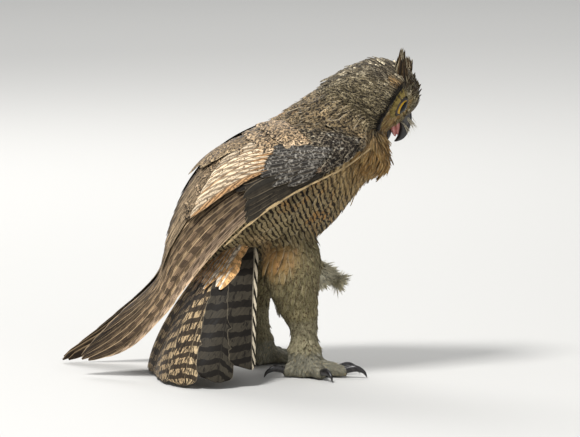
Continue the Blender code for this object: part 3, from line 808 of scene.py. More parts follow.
@dataclass
class Skin:
    """One closed skin under all the feathers, in place of the nodes of flesh."""

    swell: float = 0.0008
    voxel: float = 0.0021
    smooth_rounds: int = 6
    lowest: float = 0.0012
    bar_gap: float = 0.005
    bar_pivot: Pair = (0.167, -0.076)  # forward and up
    bar_radius: float = 0.27
    face_depth: float = 0.001
    down_depth: float = 0.0065  # more than the thigh's, under the loose down
    bare_depth: float = 0.0034  # more than the arm's, under the wing's large feathers
    lie_back: Triple = (-0.755, 0.0, -0.656)
    lie_throat: Triple = (0.62, 0.0, -0.45)  # added to it
    lie_wing: Triple = (-0.83, 0.05, -0.55)
    lie_thigh: Triple = (-0.12, 0.0, -1.0)
    lie_shank: Triple = (0.0, 0.0, -1.0)
    lie_down: Triple = (0.92, 0.0, -0.4)
    ankle: Pair = (0.027, 0.034)  # ahead of the foot's hind end, and up
    depth: dict[str, float] = field(
        default_factory=lambda: {
            "head": 0.003, "neck": 0.0046, "trunk": 0.0048, "rump": 0.0048, "thigh": 0.0034,
            "shank": 0.0024, "foot": 0.0018, "wing": 0.0034,
        }
    )
    flesh: tuple[str, ...] = (
        "head", "neck", "trunk", "rump", "thigh_right", "thigh_left", "shank_right", "shank_left",
        "foot_right", "foot_left", "wing_right", "wing_left",
    )
    replaced: tuple[str, ...] = ("ear_tuft_right", "ear_tuft_left")

    def gather(self) -> bpy.types.Object:
        """Joins all the flesh, each part swollen a little so that the cuts between them close.

        Returns:
            An object that holds it as one mesh.
        """
        whole = bmesh.new()
        for name in self.flesh:
            part = bmesh.new()
            part.from_mesh(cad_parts[name].data)
            bmesh.ops.remove_doubles(part, verts=part.verts, dist=1e-5)
            part.normal_update()
            for vertex, normal in [(v, v.normal.copy()) for v in part.verts]:
                vertex.co += normal * self.swell
            mesh = bpy.data.meshes.new("flesh")
            part.to_mesh(mesh)
            part.free()
            whole.from_mesh(mesh)
            bpy.data.meshes.remove(mesh)
        mesh = bpy.data.meshes.new("flesh")
        whole.to_mesh(mesh)
        whole.free()
        body = bpy.data.objects.new("flesh", mesh)
        bpy.context.scene.collection.objects.link(body)
        return body

    def remesh(self, body: bpy.types.Object) -> None:
        """Fuses the flesh into one closed surface, and keeps its points, faces and edges.

        Args:
            body: the joined flesh, which is deleted.
        """
        fuse = body.modifiers.new("fuse", "REMESH")
        fuse.mode = "VOXEL"
        fuse.voxel_size = self.voxel
        ready = body.evaluated_get(bpy.context.evaluated_depsgraph_get())
        work = bmesh.new()
        work.from_mesh(ready.to_mesh())
        ready.to_mesh_clear()
        self.drop_islands(work)
        bmesh.ops.triangulate(work, faces=work.faces)
        work.verts.index_update()
        self.points = np.array([v.co for v in work.verts])
        self.faces = np.array([[v.index for v in f.verts] for f in work.faces])
        self.edges = np.array([[v.index for v in e.verts] for e in work.edges])
        work.free()
        bpy.data.objects.remove(body)

    @staticmethod
    def drop_islands(work: bmesh.types.BMesh) -> None:
        """Keeps only the largest connected surface.

        Args:
            work: the mesh.
        """
        left, groups = set(work.verts), []
        while left:
            front = [left.pop()]
            group = set(front)
            while front:
                for edge in front.pop().link_edges:
                    for vertex in edge.verts:
                        if vertex in left:
                            left.discard(vertex)
                            group.add(vertex)
                            front.append(vertex)
            groups.append(group)
        groups.sort(key=len)
        for group in groups[:-1]:
            bmesh.ops.delete(work, geom=list(group), context="VERTS")

    def label(self) -> None:
        """Finds which flesh each point is nearest to."""
        best = np.full(len(self.points), np.inf)
        self.labels = np.zeros(len(self.points), int)
        for k, name in enumerate(self.flesh):
            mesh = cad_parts[name].data
            tree = BVHTree.FromPolygons([v.co for v in mesh.vertices], [p.vertices[:] for p in mesh.polygons])
            low, high = box(name)
            close = np.all((self.points > low - 0.01) & (self.points < high + 0.01), axis=1)
            for i in np.nonzero(close)[0]:
                gap = tree.find_nearest(self.points[i])[3]
                if gap < best[i]:
                    best[i], self.labels[i] = gap, k

    def normals(self) -> Array:
        """The points' normals.

        Returns:
            One row for each, weighted by the faces' areas.
        """
        a, b, c = (self.points[self.faces[:, k]] for k in range(3))
        flat = np.cross(b - a, c - a)
        total = np.zeros_like(self.points)
        for k in range(3):
            np.add.at(total, self.faces[:, k], flat)
        return unit(total)

    def share_of(self, *names: str) -> Array:
        """1 at the points whose flesh's name starts with one of the names, else 0."""
        return np.array([name.startswith(names) for name in self.flesh], float)[self.labels]

    def shape(self) -> None:
        """Smooths the creases away and draws the skin in by the coat's depth."""
        fine = self.share_of("head", "foot")
        smoothed = relax(self.points, self.edges, self.smooth_rounds, 0.5)
        gentle = relax(self.points, self.edges, 2, 0.5)
        share = relax(fine[:, None], self.edges, 6)
        self.points = smoothed * (1 - share) + gentle * share
        depth = sum(self.share_of(name) * value for name, value in self.depth.items())
        places = STANCE.inside(self.points, Home.HEAD)
        on_face = self.share_of("head") * ease(places[:, 0], 0.014, 0.03)
        depth = depth * (1 - on_face) + self.face_depth * on_face
        body = STANCE.inside(self.points)
        depth = depth + self.down_depth * self.share_of("thigh_left") * ease(body[:, 0], 0.076, 0.088)
        depth = depth + self.bare_depth * self.share_of("wing") * ease(-body[:, 0], -0.06, -0.036)
        depth = relax(depth[:, None], self.edges, 4)
        self.points = self.points - self.normals() * (depth + self.swell)
        self.points = relax(self.points, self.edges, 1, 0.3)
        self.points[:, 2] = np.maximum(self.points[:, 2], self.lowest)

    def flow(self) -> None:
        """Finds which way the feathers lie at each point."""
        body = STANCE.inside(self.points)
        lie = np.tile(self.lie_back, (len(body), 1))
        throat = self.share_of("neck") * ease(body[:, 0], 0.105, 0.15)
        lie += np.array(self.lie_throat) * throat[:, None]
        wing = np.tile(self.lie_wing, (len(body), 1))
        wing[:, 1] *= np.sign(body[:, 1])
        rules = [("head", self.face_flow()), ("thigh", self.lie_thigh), ("shank", self.lie_shank), ("wing", wing)]
        for side in Side:
            low = box("foot_" + side.word)[0]
            claw = "claw_" + side.word
            middle = (box(claw + "_middle")[0][1] + box(claw + "_hind")[1][1]) / 2
            ball = np.array((low[0] + self.ankle[0], middle, self.ankle[1]))
            rules.append(("foot_" + side.word, unit(self.points - ball)))
        for name, direction in rules:
            share = self.share_of(name)[:, None]
            lie = lie * (1 - share) + direction * share
        down = (self.share_of("thigh_left") * ease(body[:, 0], 0.075, 0.09))[:, None]
        lie = lie * (1 - down) + np.array(self.lie_down) * down
        normal = self.normals()
        lie = relax(unit(lie), self.edges, 5)
        self.lie = unit(lie - normal * np.sum(lie * normal, axis=1, keepdims=True))

    def face_flow(self) -> Array:
        """How feathers lie on the head: away from the bill, and on the discs away from the eyes.

        Returns:
            A direction for each point.
        """
        head = STANCE.inside(self.points, Home.HEAD)
        away = unit(head - np.array((0.05, 0.0, 0.012)))
        away = STANCE.turned(unit(away + np.array((-0.55, 0.0, 0.0))), Home.HEAD)
        eye = layers((len(head),), STANCE.eye_ahead, np.sign(head[:, 1]) * STANCE.eye_out, STANCE.eye_up)
        radial = STANCE.turned(unit(head - eye), Home.HEAD)
        on_disc = (1 - ease(FACE.round_off(head), 0.9, 1.1)) * ease(head[:, 0], 0.016, 0.026)
        on_disc = (on_disc * ease(np.abs(head[:, 1]), 0.008, 0.016))[:, None]
        return away * (1 - on_disc) + radial * on_disc

    def colour(self) -> None:
        """Gives every point its look."""
        weights = np.zeros((len(self.points), len(PATCHES)))
        for k, patch in enumerate(PATCHES):
            gap = np.linalg.norm(folded(STANCE.inside(self.points, patch.home)) - np.array(patch.place), axis=1)
            weights[:, k] = self.share_of(*patch.flesh) * (np.exp(-((gap / patch.reach) ** 2)) + 1e-7 / gap)
        weights /= weights.sum(axis=1, keepdims=True)
        looks = relax(weights @ np.array([p.look.row() for p in PATCHES]), self.edges, 3)
        head = STANCE.inside(self.points, Home.HEAD)
        self.looks = FACE.paint(head, looks, self.share_of("head"))

    def unwrap(self, piece: bpy.types.Object) -> Array:
        """Unwraps the skin on its own shape.

        Args:
            piece: the skin's object.

        Returns:
            The middle of each face in the map.
        """
        bpy.context.view_layer.objects.active = piece
        piece.data.uv_layers.new(name=BAKE_MAP)
        bpy.ops.object.mode_set(mode="EDIT")
        bpy.ops.mesh.select_all(action="SELECT")
        bpy.ops.uv.smart_project(angle_limit=radians(66), island_margin=0.001)
        bpy.ops.object.mode_set(mode="OBJECT")
        corners = np.zeros(len(piece.data.loops) * 2, np.float32)
        piece.data.uv_layers[BAKE_MAP].uv.foreach_get("vector", corners)
        return corners.reshape(-1, 3, 2).mean(axis=1)

    def bar_phase(self, points: Array) -> Array:
        """Counts the bars behind each point: they fan out from below the breast.

        Args:
            points: world points.

        Returns:
            A number for each.
        """
        places = STANCE.inside(points)
        turn = np.arctan2(places[..., 2] - self.bar_pivot[1], self.bar_pivot[0] - places[..., 0])
        return -turn * self.bar_radius / self.bar_gap

    def build(self, finish: Material) -> None:
        """Makes the skin and everything that the coat needs to know about it.

        Args:
            finish: its material.
        """
        self.remesh(self.gather())
        self.label()
        self.shape()
        self.flow()
        self.colour()
        shape = (len(self.points),)
        bag = Bag("skin")
        values = {
            "ground": opaque(self.looks[:, GROUND] * 0.8),
            "mark": opaque(self.looks[:, MARK]),
            "lie": layers(shape, self.bar_phase(self.points), self.looks[:, BARS], self.looks[:, FLECKS]),
            "vane": layers(shape, 0.4, 0.5, 0.4),
        }
        bag.add(self.points, values, triangles=self.faces)
        piece = bag.build(finish)
        self.uv = self.unwrap(piece)
        self.tree = BVHTree.FromPolygons([Vector(p) for p in self.points], self.faces.tolist())
        # Each face's own middle, normal, flow and look, for what grows on it.
        rows = (self.points, self.looks, self.normals(), self.lie)
        self.middle, self.face_looks, normal, lie = (each[self.faces].mean(axis=1) for each in rows)
        self.face_normal, self.face_lie = unit(normal), unit(lie)
        self.face_label = self.labels[self.faces[:, 0]]
        settle(piece, "barred_plumage", *self.flesh, *self.replaced)


FACE = Face()


# -------- small feathers


@dataclass(frozen=True)
class Vane:
    """The grid of one small feather: rows along it, strands across it that end in loose tips."""

    rows: int
    strands: int
    fringe: float  # how far the tips reach past the edge
    steps: int  # of the walk along the skin
    round: float = 0.2  # how much shorter the sides are than the middle

    def grid(self) -> tuple[Array, Array, Array, Array]:
        """Lays out the grid.

        Returns:
            Across and along of each point, quads and triangles.
        """
        across, along = [], []
        for i in range(self.rows + 1):
            for j in range(self.strands + 1):
                a, t = 2 * j / self.strands - 1, i / self.rows
                across.append(a)
                along.append(t * (1 - self.round * a * a * t))
        last = self.rows * (self.strands + 1)
        triangles = []
        for j in range(self.strands):
            a = (2 * j + 1) / self.strands - 1
            triangles.append((last + j, len(across), last + j + 1))
            across.append(a)
            along.append(1 - self.round * a * a + self.fringe * (0.7 + 0.6 * ((j * 7) % 3) / 2))
        quads = lattice(self.rows + 1, self.strands + 1)
        return np.array(across), np.array(along), quads, np.array(triangles)


class VaneSize(Enum):
    """The three grids, by the length of the feather."""

    SHORT = Vane(3, 2, 0.16, 2)
    MIDDLE = Vane(4, 3, 0.14, 4)
    LONG = Vane(5, 5, 0.12, 5)

    @property
    def limits(self) -> Pair:
        """The lengths that it is for."""
        return {"SHORT": (0.0, 0.0092), "MIDDLE": (0.0092, 0.0165), "LONG": (0.0165, 1.0)}[self.name]


@dataclass
class Coat:
    """All the small feathers, laid over the skin along its flow."""

    skin: Skin
    spacing: float = 0.215  # between roots, as a share of the feather's length
    closest: float = 0.0017
    tries: float = 7.0
    unruly: float = 0.035
    wing_bare: float = 0.034  # behind this the wing carries only large feathers
    parts: tuple[tuple[str, str, str, tuple[str, ...]], ...] = (  # piece, slot, finish, flesh
        ("coat_head", "head_plumage", "head_feathers", ("head",)),
        ("coat_neck", "mottled_plumage", "back_feathers", ("neck",)),
        ("coat_trunk", "barred_plumage", "body_feathers", ("trunk",)),
        ("coat_rump", "barred_plumage", "body_feathers", ("rump",)),
        ("coat_legs", "leg_down", "leg_feathers", ("thigh", "shank")),
        ("coat_feet", "foot_down", "leg_feathers", ("foot",)),
        ("coat_wings", "mottled_plumage", "back_feathers", ("wing",)),
    )

    def scatter(self) -> None:
        """Finds evenly spread roots, closer where the feathers are shorter."""
        skin, rng = self.skin, np.random.default_rng(SEED)
        corners = skin.points[skin.faces]
        first, second, third = corners[:, 0], corners[:, 1], corners[:, 2]
        area = np.linalg.norm(np.cross(second - first, third - first), axis=1) / 2
        gap = np.maximum(skin.face_looks[:, LENGTH] * self.spacing, self.closest)
        wanted = area / gap**2 * self.tries
        face = rng.choice(len(area), int(wanted.sum()), p=wanted / wanted.sum())
        u, v = rng.random(len(face)), rng.random(len(face))
        flip = u + v > 1
        u[flip], v[flip] = 1 - u[flip], 1 - v[flip]
        where = first[face] * (1 - u - v)[:, None] + second[face] * u[:, None] + third[face] * v[:, None]
        tree = KDTree(len(where))
        for i, place in enumerate(where):
            tree.insert(place, i)
        tree.balance()
        alive = np.ones(len(where), bool)
        kept = []
        for i in range(len(where)):
            if alive[i]:
                kept.append(i)
                alive[[k for _, k, _ in tree.find_range(where[i], gap[face[i]])]] = False
        self.roots, self.face = where[kept], face[kept]
        bare = skin.share_of("wing")[skin.faces[self.face][:, 0]] > 0
        bare &= STANCE.inside(self.roots)[:, 0] < self.wing_bare
        self.roots, self.face = self.roots[~bare], self.face[~bare]
        log.info("%d small feathers", len(kept))

    def march(self, roots: Array, face: Array, length: Array, swing: Array, steps: int) -> tuple[Array, Array]:
        """Walks from each root along the flow, on the skin.

        Args:
            roots: the starting points.
            face: the face of the skin under each.
            length: how far to go.
            swing: how far each feather turns off the flow, radians.
            steps: in how many steps.

        Returns:
            Points and normals, each with one row of steps + 1 for each feather.
        """
        skin = self.skin
        points, normals = [roots], [skin.face_normal[face]]
        for _ in range(steps):
            up, lie = normals[-1], skin.face_lie[face]
            ahead = unit(lie - up * np.sum(lie * up, axis=1, keepdims=True))
            aside = np.cross(up, ahead)
            ahead = ahead * np.cos(swing)[:, None] + aside * np.sin(swing)[:, None]
            goal = points[-1] + ahead * (length / steps)[:, None]
            found = [skin.tree.find_nearest(g) for g in goal]
            points.append(np.array([f[0] for f in found]))
            face = np.array([f[2] for f in found])
            normals.append(skin.face_normal[face])
        return np.stack(points, axis=1), np.stack(normals, axis=1)

    def grow(self, bag: Bag, chosen: Array, size: VaneSize) -> None:
        """Lays the chosen feathers into a bag.

        Args:
            bag: where they go.
            chosen: their numbers.
            size: the grid they are made on.
        """
        skin, vane = self.skin, size.value
        rng = np.random.default_rng(SEED + len(chosen))
        face, n = self.face[chosen], len(chosen)
        looks = skin.face_looks[face]
        luck = rng.random(n)
        wild = rng.random(n) < self.unruly
        length = looks[:, LENGTH] * (0.85 + 0.3 * rng.random(n)) * (1 + 0.15 * wild)
        swing = rng.normal(0, 0.1, n) + wild * rng.normal(0, 0.3, n)
        spine, normal = self.march(self.roots[chosen], face, length, swing, vane.steps)
        across, along, quads, triangles = vane.grid()
        k = np.minimum((along * vane.steps).astype(int), vane.steps - 1)
        f = (along * vane.steps - k)[None, :, None]
        point = spine[:, k] * (1 - f) + spine[:, k + 1] * f
        near = np.minimum(f, 1)
        up = unit(normal[:, k] * (1 - near) + normal[:, k + 1] * near)
        ahead = unit(spine[:, k + 1] - spine[:, k])
        aside = unit(np.cross(up, ahead))
        half = length * looks[:, SLIM] * (0.88 + 0.24 * rng.random(n)) / 2
        outline = np.sin(np.pi * np.clip(0.14 + 0.66 * along, 0, 1)) ** 0.75
        reach = half[:, None] * outline * (across + rng.normal(0, 0.05, (n, len(across))) * (along > 0.8))
        depth = looks[:, LIFT] * (0.75 + 0.5 * rng.random(n)) * (1 + 0.9 * wild)
        rise = depth[:, None] * (0.05 + 0.95 * np.clip(along, 0, 1) ** 0.8) * (1 - 0.1 * across**2)
        rise -= 0.22 * np.abs(reach) * np.abs(across)
        where = point + aside * reach[:, :, None] + up * rise[:, :, None]
        where[:, :, 2] = np.maximum(where[:, :, 2], FLOOR_CLEAR)
        shift = np.where(rng.random(n) < 0.35, rng.random(n), 0.12 * luck)[:, None]
        ground = looks[:, GROUND] * (1 - shift) + looks[:, ACCENT] * shift
        phase = skin.bar_phase(where) + 0.16 * (luck[:, None] - 0.5) + 0.22 * across**2
        offset = np.stack((across, along - 0.5), axis=1) * (PATCH / 2, PATCH)
        shape = (n, len(across))
        values = {
            "ground": np.broadcast_to(opaque(ground)[:, None], (*shape, 4)),
            "mark": np.broadcast_to(opaque(looks[:, MARK])[:, None], (*shape, 4)),
            "lie": layers(shape, phase, looks[:, BARS, None], looks[:, FLECKS, None]),
            "vane": layers(shape, across, along, luck[:, None]),
            BAKE_MAP: skin.uv[face][:, None] + offset[None],
        }
        first = (np.arange(n) * len(across))[:, None, None]
        bag.add(where, values, (quads + first).reshape(-1, 4), (triangles + first).reshape(-1, 3))

    def build(self, finishes: dict[str, Material]) -> None:
        """Makes one piece for each part of the coat.

        Args:
            finishes: the materials of feathers, by name.
        """
        self.scatter()
        label, length = self.skin.face_label[self.face], self.skin.face_looks[self.face, LENGTH]
        for name, slot, finish, flesh in self.parts:
            member = np.isin(label, [k for k, part in enumerate(self.skin.flesh) if part.startswith(flesh)])
            bag = Bag(name)
            for size in VaneSize:
                low, high = size.limits
                chosen = np.nonzero(member & (length >= low) & (length < high))[0]
                if len(chosen):
                    self.grow(bag, chosen, size)
            settle(bag.build(finishes[finish]), slot)


# -------- large feathers


class Sheet:
    """A curved surface with two coordinates, on which large feathers lie."""

    def at(self, u: Array, v: Array) -> Array:
        """Points of the surface at its coordinates."""
        raise NotImplementedError

    def slopes(self, u: Array, v: Array) -> tuple[Array, Array, Array]:
        """Finds how the surface runs.

        Args:
            u: first coordinates.
            v: second coordinates.

        Returns:
            Its slopes with u and with v, and its outward normals.
        """
        du, dv = self.step
        along = (self.at(u + du, v) - self.at(u - du, v)) / (2 * du)
        across = (self.at(u, v + dv) - self.at(u, v - dv)) / (2 * dv)
        return along, across, unit(np.cross(along, across)) * self.outward


@dataclass
class WingSheet(Sheet):
    """The folded wing: u from the wrist to the tip, v from the leading edge up to the inner edge."""

    side: Side
    ribs: Table = (
        (0.133, -0.054, 0.23, 0.124, -0.05, 0.242, 0.004),
        (0.105, -0.078, 0.212, 0.098, -0.05, 0.25, 0.012),
        (0.068, -0.086, 0.194, 0.054, -0.03, 0.256, 0.015),
        (0.028, -0.088, 0.17, 0.008, -0.015, 0.24, 0.017),
        (-0.012, -0.086, 0.135, -0.031, -0.013, 0.21, 0.015),
        (-0.047, -0.079, 0.097, -0.06, -0.013, 0.16, 0.011),
        (-0.074, -0.07, 0.064, -0.079, -0.02, 0.098, 0.006),
    )
    near_end: Table = (
        (-0.109, -0.055, 0.028, -0.124, -0.026, 0.056, 0.003),
        (-0.146, -0.042, 0.014, -0.166, -0.032, 0.018, 0.001),
    )
    far_end: Table = (
        (-0.122, -0.064, 0.021, -0.134, -0.04, 0.044, 0.003),
        (-0.17, -0.056, 0.0015, -0.187, -0.05, 0.004, 0.001),
    )
    step: Pair = (0.01, 0.02)

    def __post_init__(self) -> None:
        """Mirrors the ribs onto the wing's own side."""
        ends = self.far_end if self.side is Side.LEFT else self.near_end
        knots = np.array(self.ribs + ends)
        knots[:, (1, 4)] *= -self.side.value
        self.knots = knots
        self.outward = self.side.value

    def at(self, u: Array, v: Array) -> Array:
        """Finds points of the wing's outer face.

        Args:
            u: how far from the wrist to the tip, past one beyond it.
            v: how far from the leading to the inner edge.

        Returns:
            World points.
        """
        values = spline(self.knots, u)
        lower, upper = values[:, 0:3], values[:, 3:6]
        run = spline(self.knots, np.minimum(u + 0.02, 1.0)) - spline(self.knots, np.maximum(u - 0.02, 0.0))
        out = unit(np.cross(upper - lower, -(run[:, 0:3] + run[:, 3:6]))) * self.side.value
        bulge = (values[:, 6] * 4 * v * (1 - v))[:, None]
        beyond = unit(run[:, 0:3] + run[:, 3:6]) * np.maximum(u - 1.0, 0.0)[:, None] * 0.38
        return STANCE.world(lower + (upper - lower) * v[:, None] + out * bulge + beyond)


@dataclass
class TailSheet(Sheet):
    """The spread tail: u from root to tip, v the turn off the fan's middle in degrees."""

    root: Triple = (0.018, 0.0, 0.16)
    swing: float = 18.0
    half_spread: float = 72.0
    reach: Pair = (0.107, 0.147)
    lobe: float = 52.0
    outward: float = 1.0
    step: Pair = (0.01, 1.0)

    def at(self, u: Array, v: Array) -> Array:
        """Finds points of the fan's upper face.

        Args:
            u: how far from root to tip.
            v: the turn off the fan's middle, degrees.

        Returns:
            World points.
        """
        side = np.sin(np.radians(np.clip(v * 90 / self.lobe, 0, 180))) ** 2
        outermost = np.maximum(0.0, (np.abs(v) - self.lobe) / (self.half_spread - self.lobe))
        reach = self.reach[0] + (self.reach[1] - self.reach[0]) * side
        reach = reach * (1 - np.where(v > 0, 0.19, 0.06) * outermost) * (1 - np.maximum(1 - u, 0) ** 1.7)
        height = (self.root[2] - 0.001) * np.maximum(1 - u, 0) ** 1.12 + 0.016 * outermost * u
        heading = np.radians(v + self.swing)
        flat = np.stack((-np.cos(heading) * reach, -np.sin(heading) * reach, 0.001 + height - self.root[2]), axis=1)
        return STANCE.world(np.array(self.root) + flat)


@dataclass(frozen=True)
class Dress:
    """Colours and pattern of a large feather, for its outer and its inner web."""

    outer: Triple
    inner: Triple
    mark: Triple = (0.045, 0.03, 0.019)
    bars: float = 0.9
    flecks: float = 0.35
    gap: float = 0.017  # from one bar to the next
    slant: float = 0.35
    shade: tuple[float, ...] = (1.0, 1.0)  # how bright it is, evenly spaced from root to tip


@dataclass(frozen=True)
class Quill:
    """One large feather on a sheet."""

    root: Pair
    tip: Pair
    half: float  # half of its width
    rise: Pair  # over the sheet at root and tip
    dress: Dress
    outer_share: float = 0.62  # width of the outer web against the inner one
    outer_sign: float = -1.0  # on which side of the shaft the outer web is, along v
    point: float = 0.16  # share of the length over which the tip closes
    bow: float = 0.0
    cup: float = 0.1


@dataclass
class Quills:
    """A piece made of large feathers on a sheet, with their shafts, worn edges and splits."""

    name: str
    sheet: Sheet
    quills: list[Quill]
    rows: int = 34
    webs: int = 4
    waist: float = 0.42  # width at the root, as a share
    sunk: float = 0.0  # how deep roots lie under the row above
    hug: float = 0.75  # how far the webs follow the sheet, instead of lying flat
    split: float = 0.13
    wear: float = 0.016
    shaft_thick: Pair = (0.0009, 0.00018)  # at the root, and at the least
    full: float = 0.012  # half the width of a feather that has a full shaft

    def __post_init__(self) -> None:
        """Sets out the grid of every feather: how far along its rows are, and across from -1 to 1."""
        self.bag, self.along = Bag(self.name), np.linspace(0, 1, self.rows + 1)
        inner, outer = np.linspace(1, 0, self.webs + 1), np.linspace(0, 1, self.webs + 1)
        self.across = np.concatenate((-inner, outer[1:]))

    def build(self, finish: Material, slot: str, *nodes: str) -> None:
        """Makes the piece.

        Args:
            finish: its material.
            slot: its material slot.
            nodes: the CAD nodes whose place it takes.
        """
        for number in range(len(self.quills)):
            self.lay(number)
        settle(self.bag.build(finish), slot, *nodes)

    def lay(self, number: int) -> None:
        """Adds one feather.

        Args:
            number: which feather.
        """
        quill, rng = self.quills[number], np.random.default_rng(SEED + 97 * number)
        t = self.along
        u = quill.root[0] + (quill.tip[0] - quill.root[0]) * t
        v = quill.root[1] + (quill.tip[1] - quill.root[1]) * t + quill.bow * np.sin(np.pi * t)
        spine = self.sheet.at(u, v)
        along_u, along_v, normal = self.sheet.slopes(u, v)
        aside = unit(np.cross(normal, unit(np.gradient(spine, axis=0))))
        aside = aside * np.sign(np.sum(aside * along_v, axis=1, keepdims=True))
        reach = self.outline(quill, rng)
        offset = aside[:, None] * reach[:, :, None]
        # The steps in u and v that come nearest to the offset, so that the webs follow the sheet.
        uu, vv, uv = (
            np.sum(a * b, axis=1)[:, None] for a, b in ((along_u, along_u), (along_v, along_v), (along_u, along_v))
        )
        ru, rv = (np.einsum("ijk,ik->ij", offset, run) for run in (along_u, along_v))
        fall = np.maximum(uu * vv - uv * uv, 1e-14)
        du, dv = (ru * vv - rv * uv) / fall, (rv * uu - ru * uv) / fall
        place = self.sheet.at((u[:, None] + du).ravel(), (v[:, None] + dv).ravel()).reshape(offset.shape)
        place = place * self.hug + (spine[:, None] + offset) * (1 - self.hug)
        rise = quill.rise[0] + (quill.rise[1] - quill.rise[0]) * t - self.sunk * np.maximum(1 - t / 0.25, 0) ** 2
        height = rise[:, None] - quill.cup * np.abs(reach) * np.abs(self.across)
        place = place + normal[:, None] * height[:, :, None]
        place[:, :, 2] = np.maximum(place[:, :, 2], FLOOR_CLEAR + 0.0001 * np.abs(self.across))
        length = np.linalg.norm(np.diff(spine, axis=0), axis=1).sum()
        self.add_webs(number, place, length, rng.random())
        self.add_shaft(number, place[:, self.webs], normal, aside)

    def outline(self, quill: Quill, rng: Generator) -> Array:
        """Finds how far off the shaft the webs' points are.

        Args:
            quill: the feather.
            rng: where splits and wear come from.

        Returns:
            Distances, one for each point of the grid.
        """
        t, columns = self.along, self.across
        body = np.minimum(1.0, self.waist + 2.4 * t) * (1 - 0.1 * t)
        close = np.clip((t - (1 - quill.point)) / quill.point, 0, 1)
        body = body * np.sqrt(np.maximum(1 - close**2, 0.02))
        web = np.where(np.sign(columns) == quill.outer_sign, quill.outer_share, 1.0) * quill.half
        edge = np.ones((len(t), len(columns)))
        for _ in range(rng.integers(1, 4)):
            row, which = rng.integers(self.rows // 4, self.rows - 2), rng.integers(0, 2)
            cut = np.abs(columns) * (np.sign(columns) == (-1, 1)[which])
            edge[row] -= self.split * cut**3
        edge += rng.normal(0, self.wear, edge.shape) * np.abs(columns) ** 2
        return body[:, None] * columns * web * edge

    def cell(self, number: int, across: Array, along: Array) -> Array:
        """Where a feather's points are in the bake map, in which each has a strip of its own."""
        place = (number + 0.5 + 0.42 * across) / len(self.quills), 0.02 + 0.96 * along
        return np.stack(np.broadcast_arrays(*place), axis=-1)

    def add_webs(self, number: int, place: Array, length: float, luck: float) -> None:
        """Adds a feather's two webs.

        Args:
            number: which feather.
            place: its points.
            length: how long it is.
            luck: its own number from 0 to 1.
        """
        quill, dress, shape = self.quills[number], self.quills[number].dress, place.shape[:2]
        t, columns = self.along, self.across
        ground = np.where((np.sign(columns) == quill.outer_sign)[:, None], dress.outer, dress.inner)
        ground = ground * np.interp(t, np.linspace(0, 1, len(dress.shade)), dress.shade)[:, None, None]
        along = t[:, None]
        phase = (1 - along) * length / dress.gap + dress.slant * np.abs(columns) + luck * 0.3
        values = {
            "ground": opaque(ground),
            "mark": opaque(layers(shape, *dress.mark)),
            "lie": layers(shape, phase, dress.bars, dress.flecks),
            "vane": layers(shape, columns, along, luck),
            BAKE_MAP: self.cell(number, columns, along),
        }
        self.bag.add(place, values, lattice(*shape))

    def add_shaft(self, number: int, spine: Array, normal: Array, aside: Array) -> None:
        """Adds a feather's shaft, a ridge that thins towards the tip.

        Args:
            number: which feather.
            spine: the line it runs along.
            normal: the way up at each point of the line.
            aside: the way across.
        """
        quill, t, shape = self.quills[number], self.along, (len(self.along), 3)
        thick = np.maximum(self.shaft_thick[0] * (1 - t) ** 0.7, self.shaft_thick[1])[:, None]
        thick = thick * min(1.0, quill.half / self.full)
        place = np.stack((spine - aside * thick, spine + normal * thick * 1.1, spine + aside * thick), axis=1)
        place[:, :, 2] = np.maximum(place[:, :, 2], FLOOR_CLEAR)
        tint = np.array(quill.dress.mark) * 0.6 + np.array(quill.dress.outer) * 0.4
        values = {
            "ground": opaque(layers(shape, *tint)),
            "mark": opaque(layers(shape, *tint * 0.6)),
            "lie": np.zeros((*shape, 3)),
            "vane": layers(shape, 0.5, t[:, None], 0.5),
            BAKE_MAP: self.cell(number, np.array((-0.02, 0.0, 0.02)), t[:, None]),
        }
        self.bag.add(place, values, lattice(*shape))


@dataclass(frozen=True)
class Row:
    """A row of feathers: their roots and tips run evenly from the first feather to the last."""

    count: int
    roots: tuple[float, ...]  # u and v of the first feather's, then of the last one's
    tips: tuple[float, ...]
    half: float
    rise: Pair
    dress: Dress
    climb: float = 0.0003  # how much higher each feather lies than the one before
    outer_share: float = 0.62
    point: float = 0.18
    bow: float = 0.0
    cup: float = 0.1
    stray: float = 0.005

    def quills(self) -> Iterable[Quill]:
        """Yields the row's feathers in order.

        Returns:
            The feathers.
        """
        rng = np.random.default_rng(SEED + self.count + int(self.half * 1e5))
        for k in range(self.count):
            share = k / max(self.count - 1, 1)
            (root, root_end), (tip, tip_end) = np.array((self.roots, self.tips)).reshape(2, 2, 2)
            start = root + (root_end - root) * share
            end = tip + (tip_end - tip) * share + rng.normal(0, self.stray, 2) * (1.0, 2.0)
            rise = (self.rise[0] + self.climb * k, self.rise[1] + self.climb * k)
            half = self.half * (0.92 + 0.16 * rng.random())
            web = (self.outer_share, -1.0, self.point, self.bow, self.cup)
            yield Quill(tuple(start), tuple(end), half, rise, self.dress, *web)


